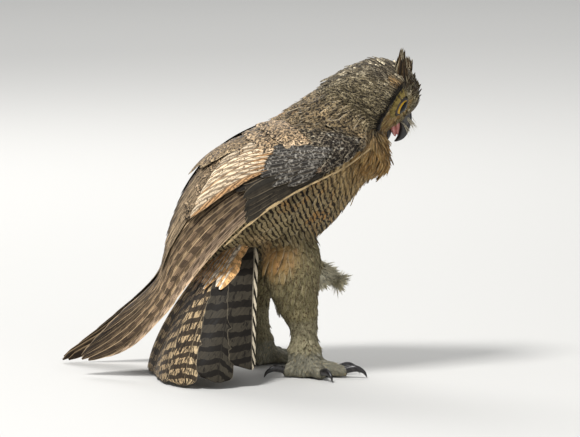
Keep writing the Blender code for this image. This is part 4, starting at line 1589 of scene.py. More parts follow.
PRIMARY = Dress(
    (0.38, 0.26, 0.145), (0.24, 0.16, 0.095), (0.02, 0.013, 0.008), 0.75, 0.42, 0.017,
    shade=(0.18, 0.24, 0.45, 0.95, 1.1, 0.4, 0.12),
)
OUTERMOST = Dress(
    (0.62, 0.44, 0.29), (0.56, 0.39, 0.27), (0.04, 0.025, 0.015), 0.7, 0.34, 0.018,
    shade=(0.12, 0.18, 0.5, 1.0, 1.2),
)
# the inner web, which the next feather covers, is far darker than the outer: partly its own colour and partly
# painted shade between the feathers
SECONDARY = Dress(
    (0.135, 0.092, 0.053), (0.03, 0.021, 0.013), (0.01, 0.007, 0.005), 0.55, 0.4, 0.017, shade=(0.5, 0.6, 1.2, 2.0),
)
TERTIAL = Dress((0.56, 0.41, 0.25), (0.1, 0.068, 0.04), (0.018, 0.012, 0.008), 0.4, 0.52, 0.014)
HAND_COVERT = Dress((0.034, 0.027, 0.018), (0.024, 0.02, 0.014), (0.01, 0.008, 0.006), 0.3, 0.25, 0.014)
GREAT_COVERT = Dress((0.045, 0.033, 0.02), (0.028, 0.022, 0.015), (0.01, 0.008, 0.006), 0.4, 0.42, 0.012)
ROUND_COVERT = Dress((0.036, 0.031, 0.026), (0.026, 0.023, 0.02), (0.3, 0.275, 0.235), 0.0, 0.36, 0.0046)
SCAPULAR = Dress((0.624, 0.456, 0.282), (0.456, 0.318, 0.18), (0.024, 0.016, 0.01), 0.45, 0.55, 0.008)
TUCKED = Dress((0.34, 0.25, 0.14), (0.24, 0.17, 0.095), (0.03, 0.02, 0.012), 0.3, 0.56, 0.01)
FLAG = Dress((0.58, 0.33, 0.15), (0.72, 0.58, 0.4), (0.06, 0.036, 0.02), 0.7, 0.3, 0.015, slant=1.6)
PERCHED = Dress((0.52, 0.38, 0.22), (0.38, 0.265, 0.15), (0.028, 0.018, 0.011), 0.5, 0.52, 0.0095)
EDGE = Dress((0.5, 0.37, 0.2), (0.42, 0.3, 0.15), bars=0.0, flecks=0.2, gap=0.02)


@dataclass
class Wing:
    """The large feathers of one folded wing, from the primaries up to the scapulars."""

    side: Side
    primary_tips: tuple[Pair, ...] = (
        (0.815, 0.04), (0.885, 0.05), (0.945, 0.09), (0.992, 0.16), (0.998, 0.42),
        (0.98, 0.62), (0.945, 0.76), (0.905, 0.84), (0.86, 0.9), (0.82, 0.9),
    )
    deep: tuple[Row, ...] = (  # secondaries and tertials, the outermost first, each over the last
        Row(9, (0.26, 0.16, 0.31, 0.66), (0.79, 0.62, 0.61, 0.86), 0.0128, (-0.0024, 0.0002), SECONDARY, 0.00034,
            0.42, 0.13, 0.03, 0.14),
        Row(8, (0.33, 0.5, 0.34, 0.86), (0.7, 0.56, 0.585, 0.84), 0.008, (-0.0002, 0.0026), TERTIAL, 0.0003,
            0.6, 0.2, 0.02),
    )
    low: tuple[Row, ...] = (  # coverts of the hand, great coverts, the wing's edge, and what the scapulars lie on
        Row(6, (0.19, 0.02, 0.22, 0.17), (0.425, 0.03, 0.405, 0.2), 0.0066, (-0.001, 0.0016), HAND_COVERT, 0.0003,
            0.6, 0.24),
        Row(7, (0.24, 0.18, 0.3, 0.52), (0.405, 0.24, 0.425, 0.56), 0.008, (-0.0022, 0.0024), GREAT_COVERT, 0.0003,
            0.7, 0.22),
        Row(26, (-0.005, 0.0, 0.445, 0.0), (0.05, -0.006, 0.5, -0.004), 0.0009, (0.0006, 0.001), EDGE, 0.0,
            0.9, 0.4, 0.0, 0.0, 0.002),
        Row(6, (0.235, 0.66, 0.52, 0.86), (0.33, 0.84, 0.64, 0.9), 0.01, (-0.005, -0.0036), TUCKED, 0.0001,
            0.8, 0.26),
    )
    high: tuple[Row, ...] = (  # the bright patch, and the round coverts before it
        Row(8, (0.29, 0.6, 0.325, 0.3), (0.44, 0.68, 0.54, 0.42), 0.0092, (0.0012, 0.0038), FLAG, 0.0004,
            0.62, 0.3, 0.01),
        Row(8, (0.22, 0.46, 0.275, 0.24), (0.288, 0.52, 0.356, 0.28), 0.0042, (-0.0006, 0.003), ROUND_COVERT,
            0.0001, 0.9, 0.42),
        Row(8, (0.185, 0.4, 0.245, 0.14), (0.25, 0.44, 0.326, 0.145), 0.004, (-0.0006, 0.0028), ROUND_COVERT,
            0.0001, 0.9, 0.42),
        Row(8, (0.145, 0.34, 0.21, 0.07), (0.208, 0.37, 0.288, 0.07), 0.0038, (-0.0006, 0.0026), ROUND_COVERT,
            0.0001, 0.9, 0.42),
    )
    perched: Row = Row(  # stands up over the near wing
        4, (0.345, 0.76, 0.385, 0.9), (0.48, 0.8, 0.535, 0.955), 0.0088, (0.0012, 0.007), PERCHED, 0.0004,
        0.8, 0.26,
    )

    def primaries(self) -> Iterable[Quill]:
        """Yields the ten primaries, the outermost first: they lie deepest and lowest.

        Returns:
            The feathers.
        """
        for k, tip in enumerate(self.primary_tips):
            root = (0.17 + 0.012 * k, 0.09 + 0.02 * k)
            rise = (-0.0026 + 0.0003 * k, -0.002 + 0.0003 * k)
            yield Quill(root, tip, 0.0118, rise, OUTERMOST if k < 3 else PRIMARY, 0.34, point=0.2, bow=0.0)

    def scapulars(self) -> Iterable[Row]:
        """Yields the rows of scapulars, the lowest first.

        Returns:
            The rows.
        """
        near = self.side is Side.RIGHT
        for j in range(5):
            v = 0.56 + ((0.92 if near else 0.8) - 0.56) * j / 4
            start, end = 0.575 + 0.02 * (j > 2), 0.275 + 0.012 * j
            roots, tips = (start - 0.085, v - 0.04, end - 0.075, v - 0.05), (start, v, end, v + 0.01)
            rise = (-0.001, 0.003 + 0.0003 * j if near else 0.0016)
            yield Row(9, roots, tips, 0.0078, rise, SCAPULAR, 0.00006, 0.9, 0.34, stray=0.01)

    def build(self, flight: Material, cover: Material) -> None:
        """Makes the wing's two pieces.

        Args:
            flight: the material of the deep feathers.
            cover: the material of those over them.
        """
        sheet, word = WingSheet(self.side), self.side.word
        rows = [*self.low, *self.scapulars(), *self.high, *([self.perched] if self.side is Side.RIGHT else [])]
        deep = [*self.primaries(), *(quill for row in self.deep for quill in row.quills())]
        over = [quill for row in rows for quill in row.quills()]
        layer = Quills("flight_feathers_" + word, sheet, deep)
        layer.build(flight, "flight_feathers", "primaries_" + word, "secondaries_" + word)
        layer = Quills("cover_feathers_" + word, sheet, over, rows=18, waist=0.12, sunk=0.0022)
        layer.build(cover, "mottled_plumage", "scapulars_" + word)


RECTRIX = Dress((0.6, 0.45, 0.26), (0.5, 0.36, 0.2), (0.022, 0.015, 0.01), 0.95, 0.54, 0.015, slant=0.3)
# painted shade: the outer tail feathers are almost black, as the wing and body shade them; the outermost keeps its
# own pale outer web
SHADED_SIDE_RECTRIX = Dress((0.04, 0.034, 0.024), (0.036, 0.03, 0.021), (0.009, 0.007, 0.005), 1.0, 0.3, 0.0172, slant=0.8)
SHADED_EDGE_RECTRIX = replace(SHADED_SIDE_RECTRIX, outer=(0.6, 0.52, 0.38))
TAIL_COVERT = Dress((0.86, 0.76, 0.6), (0.74, 0.42, 0.17), (0.04, 0.025, 0.014), 0.5, 0.22, 0.01, slant=0.5)


@dataclass
class Tail:
    """The twelve tail feathers, spread and pressed on the floor, with their coverts."""

    feathers: int = 12
    half: float = 0.0262
    turn: float = 69.5  # of the outermost shafts off the fan's middle, degrees
    lowest: float = -0.0008
    climb: float = 0.00042
    coverts: tuple[Row, ...] = (
        Row(36, (0.06, -66.0, 0.08, 58.0), (0.36, -60.0, 0.4, 50.0), 0.0078, (0.0012, 0.0042), TAIL_COVERT,
            0.00002, 0.9, 0.4, stray=0.026),
        Row(32, (0.04, -62.0, 0.05, 58.0), (0.27, -58.0, 0.3, 50.0), 0.0078, (0.002, 0.0052), TAIL_COVERT,
            0.00002, 0.9, 0.4, stray=0.026),
        Row(28, (0.02, -60.0, 0.02, 60.0), (0.17, -56.0, 0.2, 54.0), 0.0072, (0.0028, 0.006), TAIL_COVERT,
            0.00002, 0.9, 0.4, stray=0.024),
    )

    def fan(self) -> Iterable[Quill]:
        """Yields the tail feathers, which lie like a hand of cards.

        Returns:
            The feathers.
        """
        middle = (self.feathers - 1) / 2
        for k in range(self.feathers):
            off = k - middle
            turn, rise, edge = self.turn * off / middle, self.lowest + self.climb * k, abs(off) > 4.6
            # the outer two feathers on each side take the dresses with painted shade
            dress = SHADED_EDGE_RECTRIX if edge else SHADED_SIDE_RECTRIX if abs(off) > 3.6 else RECTRIX
            half, share = (self.half * 1.14, 0.17) if edge else (self.half * 1.04, 0.6)
            web = (share, copysign(1.0, off), 0.055)
            yield Quill((0.03, turn), (0.985, turn), half, (rise - 0.001, rise), dress, *web, cup=0.035)

    def build(self, flight: Material, cover: Material) -> None:
        """Makes the fan and the coverts over its root.

        Args:
            flight: the material of the fan.
            cover: the material of the coverts.
        """
        sheet = TailSheet()
        fan = Quills("tail_feathers", sheet, list(self.fan()), rows=44, webs=5)
        fan.build(flight, "flight_feathers", "tail_fan")
        coverts = [quill for row in self.coverts for quill in row.quills()]
        Quills("tail_coverts", sheet, coverts, rows=16).build(cover, "mottled_plumage")


# -------- head details


@dataclass(frozen=True)
class Blade:
    """A free-standing narrow feather, in one of the bird's frames."""

    root: Array
    way: Array
    face: Array  # the way its upper side looks
    length: float
    half: float  # of its width
    bend: float
    edge: Triple
    middle: Triple
    home: Home = Home.HEAD
    rows: int = 5
    jag: float = 0.12
    cup: float = 0.25

    def lay(self, bag: Bag, rng: Generator, uv: Array) -> None:
        """Adds the feather to a bag.

        Args:
            bag: where it goes.
            rng: where its irregularity comes from.
            uv: its root's place in the bake map.
        """
        t, columns = np.linspace(0, 1, self.rows + 1), np.linspace(-1, 1, 5)
        shape = (len(t), len(columns))
        way = unit(np.array(self.way))
        aside = unit(np.cross(unit(np.array(self.face)), way))
        face = np.cross(way, aside)
        spine = self.root + np.outer(t, way) * self.length + np.outer(t**2, face) * self.bend
        outline = np.sin(np.pi * np.clip(0.2 + 0.8 * t, 0, 1)) ** 0.8
        reach = outline[:, None] * columns * self.half * (1 + rng.normal(0, self.jag, shape) * np.abs(columns))
        place = spine[:, None] + aside * reach[:, :, None] - face * (self.cup * np.abs(reach))[:, :, None]
        out = ease(np.abs(columns), 0.35, 0.9)[:, None]
        tint = np.array(self.middle) * (1 - out) + np.array(self.edge) * out
        along = t[:, None]
        values = {
            "ground": opaque(np.broadcast_to(tint, (*shape, 3))),
            "mark": opaque(np.broadcast_to(tint * 0.35, (*shape, 3))),
            "lie": layers(shape, 0.0, 0.0, 0.3),
            "vane": layers(shape, columns * 0.8 + 0.15, along, rng.random()),
            BAKE_MAP: uv + layers(shape, columns * PATCH / 2, (along - 0.5) * PATCH),
        }
        bag.add(STANCE.world(place, self.home), values, lattice(*shape))


@dataclass
class Sprigs:
    """A piece made of such feathers. Each kind has a random stream of its own."""

    name: ClassVar[str]
    stream: ClassVar[int]
    slot: ClassVar[str] = "head_plumage"
    skin: Skin

    def __post_init__(self) -> None:
        """Starts the random stream."""
        self.rng = np.random.default_rng(SEED + self.stream)

    def blades(self) -> Iterable[Blade]:
        """Yields the feathers, each before the next one's random draws."""
        raise NotImplementedError

    def build(self, finish: Material) -> None:
        """Makes the piece.

        Args:
            finish: its material.
        """
        bag = Bag(self.name)
        for blade in self.blades():
            under = self.skin.tree.find_nearest(STANCE.world(blade.root, blade.home))[2]
            blade.lay(bag, self.rng, self.skin.uv[under])
        settle(bag.build(finish), self.slot)


@dataclass
class Tufts(Sprigs):
    """The two ear tufts, and the shaggy dark brows that run from them down to the forehead."""

    name = "ear_tufts"
    stream = 1
    feathers: int = 34
    brow_feathers: int = 46
    root: Triple = (0.0262, 0.0175, 0.0425)
    tips: dict[Side, Triple] = field(
        default_factory=lambda: {Side.RIGHT: (0.0122, 0.029, 0.0758), Side.LEFT: (0.0136, 0.0378, 0.0608)}
    )
    brow_line: Table = (
        (0.033, 0.015, 0.044), (0.0385, 0.0125, 0.0405), (0.043, 0.01, 0.0365), (0.0465, 0.006, 0.031),
    )
    half: float = 0.0021
    brow_half: float = 0.0013
    edges: tuple[Triple, Triple] = ((0.62, 0.52, 0.34), (0.15, 0.095, 0.045))  # pale and dark
    brow_edges: tuple[Triple, Triple] = ((0.42, 0.35, 0.2), (0.13, 0.085, 0.045))

    def blades(self) -> Iterable[Blade]:
        """Yields each tuft and then its brow."""
        for side in Side:
            yield from itertools.chain(self.tuft(side), self.brow(side))

    def tuft(self, side: Side) -> Iterable[Blade]:
        """Yields one tuft: dark feathers with pale edges, the palest behind, that close to a point.

        Args:
            side: which tuft.

        Returns:
            The feathers.
        """
        rng = self.rng
        mirror = np.array((1.0, side.value, 1.0))
        for k in range(self.feathers):
            share = k / (self.feathers - 1)
            shift = (0.008 - 0.016 * share, rng.normal(0, 0.002), -0.004 + 0.005 * share)
            root = np.array(self.root) + shift
            aim = np.array(self.tips[side]) + (rng.normal(0.0016, 0.002), rng.normal(0, 0.0018), 0.0)
            reach = 0.55 + 0.45 * sin(pi * (0.12 + 0.76 * share)) ** 1.5 * (0.8 + 0.2 * rng.random())
            way = aim - root
            length = float(np.linalg.norm(way)) * reach
            edge = self.edges[0 if rng.random() < 0.12 + 0.6 * share else 1]
            half = self.half * (0.75 + 0.4 * rng.random())
            face = mirror * (0.35, 0.9, 0.2)
            yield Blade(root * mirror, way * mirror, face, length, half, -0.002, edge, SOOT, rows=7)

    def brow(self, side: Side) -> Iterable[Blade]:
        """Yields one brow: short dark feathers that stand up and forward along its line.

        Args:
            side: which brow.

        Returns:
            The feathers.
        """
        rng = self.rng
        mirror, line = np.array((1.0, side.value, 1.0)), np.array(self.brow_line)
        for _ in range(self.brow_feathers):
            share = rng.random()
            root = spline(line, np.array((share,)))[0] + rng.normal(0, 0.0016, 3) * (0.4, 1.0, 0.4)
            root = root - (0.0015, 0.0, 0.0015)
            way = np.array((-0.2 + 0.45 * share, 0.2 + rng.normal(0, 0.2), 1.0 - 0.45 * share))
            way = way + rng.normal(0, 0.12, 3)
            edge = self.brow_edges[0 if rng.random() < 0.3 else 1]
            length = (0.0098 - 0.0042 * share) * (0.75 + 0.4 * rng.random())
            face = mirror * (0.7, 0.7, 0.2)
            yield Blade(root * mirror, way * mirror, face, length, self.brow_half, -0.0012, edge, SOOT)


@dataclass
class Bristles(Sprigs):
    """Stiff hair-like feathers round the base of the bill, and the pale ones between the eyes."""

    name = "face_bristles"
    stream = 2
    beside_bill: int = 60
    between_eyes: int = 70
    wisps: int = 10
    bill_tints: tuple[Triple, ...] = ((0.36, 0.3, 0.17), (0.12, 0.09, 0.05), (0.32, 0.21, 0.08))
    eye_tints: tuple[Triple, Triple] = ((0.46, 0.41, 0.27), (0.1, 0.075, 0.04))
    wisp_tint: Triple = (0.62, 0.55, 0.4)

    def blades(self) -> Iterable[Blade]:
        """Yields the bristles of each side.

        Returns:
            The feathers.
        """
        rng = self.rng
        for side in Side:
            s = side.value
            for _ in range(self.beside_bill):
                share = rng.random()
                root = (0.0415 - 0.004 * share, s * (0.008 + 0.004 * share), 0.0185 - 0.011 * share)
                way = (0.5 + rng.normal(0, 0.12), s * (0.45 + 0.45 * rng.random()), -0.55 - 0.45 * rng.random())
                tint = self.bill_tints[int(rng.random() * 3)]
                yield self.bristle(side, root, way, 0.0065 + 0.005 * rng.random(), 0.0007, tint)
            for _ in range(self.between_eyes):
                share = rng.random()
                root = (0.045 - 0.01 * share, s * (0.005 + 0.011 * share), 0.016 + 0.019 * share)
                way = (0.02, s * (0.3 + rng.normal(0, 0.15)), 0.9 + rng.normal(0, 0.12))
                tint = self.eye_tints[0 if rng.random() < 0.55 else 1]
                yield self.bristle(side, root, way, 0.0055 + 0.0035 * rng.random(), 0.001, tint)
            for _ in range(self.wisps):
                root = (0.043, s * 0.006, 0.004 + 0.01 * rng.random())
                way = (1.0, s * rng.normal(0.1, 0.15), -0.25 + rng.normal(0, 0.15))
                yield self.bristle(side, root, way, 0.013 + 0.006 * rng.random(), 0.0004, self.wisp_tint)

    @staticmethod
    def bristle(side: Side, root: tuple, way: tuple, length: float, half: float, tint: Triple) -> Blade:
        """One bristle, which bends back by a quarter of its length."""
        face = np.array((0.6, side.value * 0.6, 0.5))
        return Blade(np.array(root), np.array(way), face, length, half, -0.25 * length, tint, tint)


@dataclass
class RimFeathers(Sprigs):
    """The stiff black feathers along the outer rim of each facial disc."""

    name = "disc_rim_feathers"
    stream = 6
    count: int = 78
    rows: tuple[float, ...] = (1.0, 0.9)
    turns: Pair = (76.0, -78.0)  # where the rim starts above and ends below, degrees
    length: float = 0.0052
    half: float = 0.0014
    lift: float = 0.0006
    tint: Triple = (0.013, 0.01, 0.008)

    def blades(self) -> Iterable[Blade]:
        """Yields the rims of both discs.

        Returns:
            The feathers.
        """
        rng = self.rng
        for side, row, k in itertools.product(Side, self.rows, range(self.count)):
            share = (k + rng.random()) / self.count
            turn = radians(self.turns[0] + (self.turns[1] - self.turns[0]) * share)
            high = FACE.reach[1] if turn > 0 else FACE.low_reach
            out, up = FACE.reach[0] * cos(turn) * row, high * sin(turn) * row
            place = np.array((FACE.plane + 0.002, side.value * (FACE.middle[0] + out), FACE.middle[1] + up))
            spot, normal = self.skin.tree.find_nearest(STANCE.world(place, Home.HEAD))[:2]
            root, face = STANCE.inside(np.array(spot), Home.HEAD), STANCE.head_axes @ np.array(normal)
            way = np.array((-0.55, side.value * cos(turn), 0.8 * sin(turn)))
            way = unit(way - face * float(way @ face)) + face * 0.34 + rng.normal(0, 0.1, 3)
            tint = tuple(np.array(self.tint) * (0.7 + 0.8 * rng.random()))
            size = self.length * (0.8 + 0.4 * rng.random()) * (0.85 + 0.3 * sin(pi * share))
            yield Blade(root + face * self.lift, way, face, size, self.half, -0.0008, tint, tint)


@dataclass
class Fluff(Sprigs):
    """Loose down: the tuft before the far thigh, and wisps at the throat and the nape."""

    name = "loose_down"
    stream = 3
    slot = "leg_down"
    thigh: tuple[int, float, float, float, Triple] = (1500, 0.0115, 0.0008, 0.8, (0.78, 0.73, 0.56))
    throat: tuple[int, float, float, float, Triple] = (90, 0.012, 0.0009, 0.45, (0.4, 0.26, 0.1))
    nape: tuple[int, float, float, float, Triple] = (70, 0.013, 0.001, 0.35, (0.34, 0.28, 0.19))

    def blades(self) -> Iterable[Blade]:
        """Yields all of it. Each plan has a count, a length, half a width, how upright it is, and a tint.

        Returns:
            The feathers.
        """
        skin, rng = self.skin, self.rng
        body = STANCE.inside(skin.middle)
        ahead, _, up = body.T
        for plan, flesh, where in (
            (self.thigh, "thigh_left", ahead > 0.08),
            (self.throat, "neck", (ahead > 0.118) & (up < 0.238)),
            (self.nape, "neck", (ahead < 0.075) & (up > 0.25)),
        ):
            count, length, half, upright, tint = plan
            for face in rng.choice(np.nonzero((skin.face_label == skin.flesh.index(flesh)) & where)[0], count):
                normal = skin.face_normal[face]
                way = skin.face_lie[face] + normal * upright * rng.random() + rng.normal(0, 0.22, 3)
                shade = tuple(np.array(tint) * (0.75 + 0.45 * rng.random()))
                long, wide = length * (0.6 + 0.7 * rng.random()), half * (0.6 + 0.7 * rng.random())
                yield Blade(body[face], way, normal, long, wide, 0.002 * rng.normal(), shade, shade, Home.BODY)


@dataclass
class EyeRing(Sprigs):
    """The small feathers that lie round each eye, over the sides of the globe."""

    name = "eye_ring_feathers"
    stream = 4
    rows: tuple[tuple[float, int, float, float], ...] = (  # angle off the eye's axis, count, length, lift
        (1.28, 42, 0.009, 0.0003), (1.1, 42, 0.008, 0.0007), (0.94, 46, 0.0066, 0.001),
    )
    half: float = 0.00125
    dark: Triple = (0.13, 0.095, 0.055)
    golden: Triple = (0.29, 0.215, 0.065)
    pale: Triple = (0.47, 0.41, 0.26)

    def blades(self) -> Iterable[Blade]:
        """Yields the rings of both eyes.

        Returns:
            The feathers.
        """
        eyes, rng = Eyes(), self.rng
        for side, (polar, count, length, lift) in itertools.product(Side, self.rows):
            ahead, aside, up = eyes.axes(side)
            for k in range(count):
                turn = 2 * pi * (k + 0.6 * rng.random()) / count
                out = aside * cos(turn) + up * sin(turn)
                normal = ahead * cos(polar) + out * sin(polar)
                root = STANCE.inside(STANCE.eye(side) + normal * (eyes.lid_radius + lift))
                way = out * cos(polar) - ahead * sin(polar) * 0.75 + normal * 0.3
                dark = rng.random() < 0.22
                tint = self.dark if dark else tuple(np.array(self.golden) * (0.6 + 0.6 * rng.random()))
                if sin(turn) > 0.2 and cos(turn) * side.value < -0.1:
                    tint = tuple(np.array(self.pale) * (0.6 + 0.5 * rng.random()))
                size = length * (0.8 + 0.4 * rng.random())
                yield Blade(root, way, normal, size, self.half, -0.0012, tint, tint, Home.BODY)


@dataclass
class Eyes:
    """Both eyes with their lids."""

    outward: float = 10.0  # of each eye's axis, degrees
    bulge: float = 0.0009
    cornea: float = 0.86  # angle off the axis at which it ends
    last: float = 1.75  # angle at which the globe ends
    lid_radius: float = 0.0131
    opening: float = 0.74
    rings: int = 40
    around: int = 64
    rim: tuple[Pair, ...] = (  # angle beyond the opening, and lift
        (0.03, -0.001), (0.0, -0.0003), (0.01, 0.0003), (0.04, 0.0006), (0.08, 0.0002), (0.12, 0.0003),
        (0.2, -0.0002), (0.4, -0.001),
    )

    @property
    def turns(self) -> Array:
        """Angles round the eye's axis."""
        return np.linspace(0, 2 * np.pi, self.around, endpoint=False)

    def axes(self, side: Side) -> Array:
        """Finds the axes of one eye.

        Args:
            side: which eye.

        Returns:
            Rows ahead, aside and up.
        """
        turn = radians(self.outward) * side.value
        ahead = STANCE.turned(np.array((cos(turn), sin(turn), 0.0)), Home.HEAD)
        up = STANCE.head_axes[2]
        return np.array((ahead, np.cross(up, ahead), up))

    def shell(self, side: Side, polar: Array, radius: Array) -> Array:
        """Makes a grid of points round the eye's axis.

        Args:
            side: which eye.
            polar: angles off the axis, one row for each ring.
            radius: distances from the eye's centre, likewise.

        Returns:
            The points.
        """
        ahead, aside, up = self.axes(side)
        out = np.cos(self.turns)[:, None] * aside + np.sin(self.turns)[:, None] * up
        place = np.cos(polar)[:, :, None] * ahead + np.sin(polar)[:, :, None] * out
        return STANCE.eye(side) + place * radius[:, :, None]

    def build(self, glass: Material, lid: Material) -> None:
        """Makes the globes and the lids.

        Args:
            glass: the globes' material.
            lid: the lids' material.
        """
        for side in Side:
            self.globe(side, glass)
            self.lids(side, lid)

    def globe(self, side: Side, finish: Material) -> None:
        """Makes one globe, with the cornea standing out of it.

        Args:
            side: which eye.
            finish: its material.
        """
        low, high = box("eye_" + side.word)
        polar = np.linspace(0.002, self.last, self.rings)[:, None]
        swell = np.maximum(np.cos(polar / self.cornea * np.pi / 2), 0) ** 1.5 * (polar < self.cornea)
        place = self.shell(side, polar, (high[2] - low[2]) / 2 + self.bulge * swell)
        gaze = layers(place.shape[:2], polar, np.sin(self.turns), np.cos(self.turns))
        bag = Bag("globe_" + side.word)
        bag.add(place, {"gaze": gaze}, lattice(self.rings, self.around, True))
        settle(bag.build(finish), "eye", "eye_" + side.word)

    def lids(self, side: Side, finish: Material) -> None:
        """Makes the lids of one eye: a dark rim round the opening that runs back under the feathers.

        Args:
            side: which eye.
            finish: their material.
        """
        inner = self.opening - 0.1 * np.maximum(np.sin(self.turns), 0) ** 2 - 0.03 * np.cos(self.turns)
        beyond, lift = np.array(self.rim).T[:, :, None]
        bag = Bag("lids_" + side.word)
        place = self.shell(side, inner + beyond, self.lid_radius + lift)
        bag.add(place, {}, lattice(len(lift), self.around, True))
        settle(bag.build(finish), "eye")


def loft(
    rings: tuple, sides: int, samples: int, ridge: float = 0.0,
) -> tuple[Array, dict[str, Array], Array, Array]:
    """Makes a closed tapering body through rings of (x, z, pitch, high, wide, y).

    Args:
        rings: the rings.
        sides: points round each.
        samples: rings in the result.
        ridge: how sharply the upper side is drawn to a ridge.

    Returns:
        Its points, values, quads and triangles, as a bag takes them.
    """
    t = np.linspace(0, 1, samples + 1)
    x, z, pitch, high, wide, y = spline(np.array(rings, float), t).T
    pitch = np.radians(pitch)
    turn = np.linspace(0, 2 * np.pi, sides, endpoint=False)
    above = np.maximum(np.sin(turn), 0)
    up = np.stack((-np.sin(pitch), np.zeros_like(pitch), np.cos(pitch)), axis=1)
    centre = np.stack((x, y, z), axis=1)
    side = wide[:, None] * np.cos(turn) * (1 - ridge * above**2)
    rise = high[:, None] * np.sin(turn) * (1 + 0.25 * ridge * above**3)
    place = centre[:, None] + side[:, :, None] * np.array((0.0, 1.0, 0.0)) + rise[:, :, None] * up[:, None]
    points = np.concatenate((place.reshape(-1, 3), centre[:1], centre[-1:]))
    quads = np.roll(lattice(len(t), sides, True)[:, ::-1], 1, axis=1)  # they face outwards
    k, after = np.arange(sides), np.roll(np.arange(sides), -1)
    last, ends = samples * sides, len(points) - 2
    first_fan, last_fan = layers((sides,), ends, after, k), layers((sides,), ends + 1, last + k, last + after)
    run = layers((len(t), sides), t[:, None], np.sin(turn), 0.0).reshape(-1, 3)
    run = np.concatenate((run, ((0.0, 0.0, 0.0), (1.0, 0.0, 0.0))))
    return points, {"run": run}, quads, np.concatenate((first_fan, last_fan))


@dataclass
class Bill:
    """The open bill with its cere, and the tongue between its halves."""

    upper: Table = (
        (0.037, 0.014, -42, 0.0092, 0.0078, 0), (0.0425, 0.0085, -60, 0.0078, 0.0072, 0),
        (0.0463, 0.003, -78, 0.0058, 0.006, 0), (0.0482, -0.0035, -90, 0.0048, 0.0048, 0),
        (0.0485, -0.0095, -100, 0.0033, 0.0032, 0), (0.0468, -0.0142, -114, 0.0016, 0.0016, 0),
        (0.0452, -0.0166, -122, 0.0005, 0.0005, 0),
    )
    lower: Table = (
        (0.027, 0.002, -62, 0.0042, 0.0068, 0), (0.033, -0.007, -66, 0.004, 0.006, 0),
        (0.0365, -0.014, -74, 0.0028, 0.0044, 0), (0.038, -0.019, -80, 0.0009, 0.0012, 0),
    )
    palate: Table = (
        (0.036, 0.0075, -50, 0.0036, 0.006, 0), (0.04, 0.002, -60, 0.0036, 0.0054, 0),
        (0.0428, -0.004, -72, 0.003, 0.004, 0), (0.0448, -0.0092, -84, 0.0012, 0.0018, 0),
    )
    tongue: Table = (
        (0.032, 0.0035, -55, 0.0026, 0.007, 0), (0.0362, -0.0025, -60, 0.0034, 0.0066, 0),
        (0.0404, -0.0082, -62, 0.0026, 0.0048, 0), (0.0436, -0.0118, -60, 0.0008, 0.002, 0),
    )

    cere: Table = (  # of one side, its middle given for the left
        (0.04, 0.015, -50, 0.006, 0.0034, 0.0044), (0.044, 0.0095, -60, 0.0056, 0.0032, 0.0042),
        (0.047, 0.004, -72, 0.003, 0.0018, 0.0036),
    )

    def build(self, horn: Material, cere: Material, flesh: Material) -> None:
        """Makes the five pieces.

        Args:
            horn: the material of both halves.
            cere: the cere's material.
            flesh: that of the tongue and the palate.
        """
        for name, rings, ridge, finish, slot, nodes in (
            ("upper_bill", self.upper, 0.45, horn, "bill_horn", ("bill_upper",)),
            ("lower_bill", self.lower, 0.0, horn, "bill_horn", ("bill_lower",)),
            ("moist_tongue", self.tongue, 0.0, flesh, "tongue", ("tongue",)),
            ("palate", self.palate, 0.0, flesh, "tongue", ()),
        ):
            bag = Bag(name)
            self.add(bag, rings, 36, 40, ridge)
            settle(bag.build(finish), slot, *nodes)
        bag = Bag("cere")
        for side in Side:
            self.add(bag, [(*ring[:5], side.value * ring[5]) for ring in self.cere], 20, 16)
        settle(bag.build(cere), "bill_horn")

    @staticmethod
    def add(bag: Bag, rings: tuple, sides: int, samples: int, ridge: float = 0.0) -> None:
        """Lofts rings of the head's frame into a bag."""
        points, *rest = loft(rings, sides, samples, ridge)
        bag.add(STANCE.world(points, Home.HEAD), *rest)


@dataclass
class Claws:
    """The eight claws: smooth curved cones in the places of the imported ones."""

    length: float = 0.022
    radius: float = 0.0036
    back: float = 0.001  # how far each claw stands back from the middle of its node
    sink: float = 0.0006
    profile: Table = (  # of length: ahead; up, pitch; of radius: high, wide
        (0.12, 0.01, 0, 1.0, 0.85), (0.38, 0.0092, -20, 0.75, 0.65), (0.62, 0.0062, -44, 0.46, 0.42),
    )
    toes: dict[str, Pair] = field(
        default_factory=lambda: {
            "inner": (-16, 0.036), "middle": (12, 0.042), "outer": (62, 0.034), "hind": (162, 0.026),
        }
    )

    def build(self, finish: Material) -> None:
        """Makes one piece for each claw.

        Args:
            finish: their material.
        """
        for side, (toe, (out, reach)) in itertools.product(Side, self.toes.items()):
            points, *rest = loft(self.rings(reach), 20, 26, 0.15)
            turn = radians(out * side.value)
            ahead, aside = np.array((cos(turn), sin(turn))), np.array((-sin(turn), cos(turn)))
            flat = points[:, :1] * ahead + points[:, 1:2] * aside
            name = f"claw_{side.word}_{toe}"
            low, high = box(name)
            flat = flat + (low + high)[:2] / 2 - (flat.min(axis=0) + flat.max(axis=0)) / 2 - ahead * self.back
            up = np.maximum(points[:, 2:] - self.sink, 0.0002)
            bag = Bag("talon_" + name[5:])
            bag.add(np.concatenate((flat, up), axis=1), *rest)
            settle(bag.build(finish), "claw_horn", name)

    def rings(self, reach: float) -> list[tuple[float, ...]]:
        """Lists the rings of a claw.

        Args:
            reach: how far ahead of the foot's middle it starts.

        Returns:
            The rings as a loft takes them.
        """
        size = self.radius
        rings = [(reach - 0.006, 0.008, 12, size, size * 0.9, 0)]
        for ahead, up, pitch, high, wide in self.profile:
            rings.append((reach + self.length * ahead, up, pitch, size * high, size * wide, 0))
        return [*rings, (reach + self.length * 0.74, 0.0016, -70, 0.0004, 0.0004, 0)]


# -------- studio


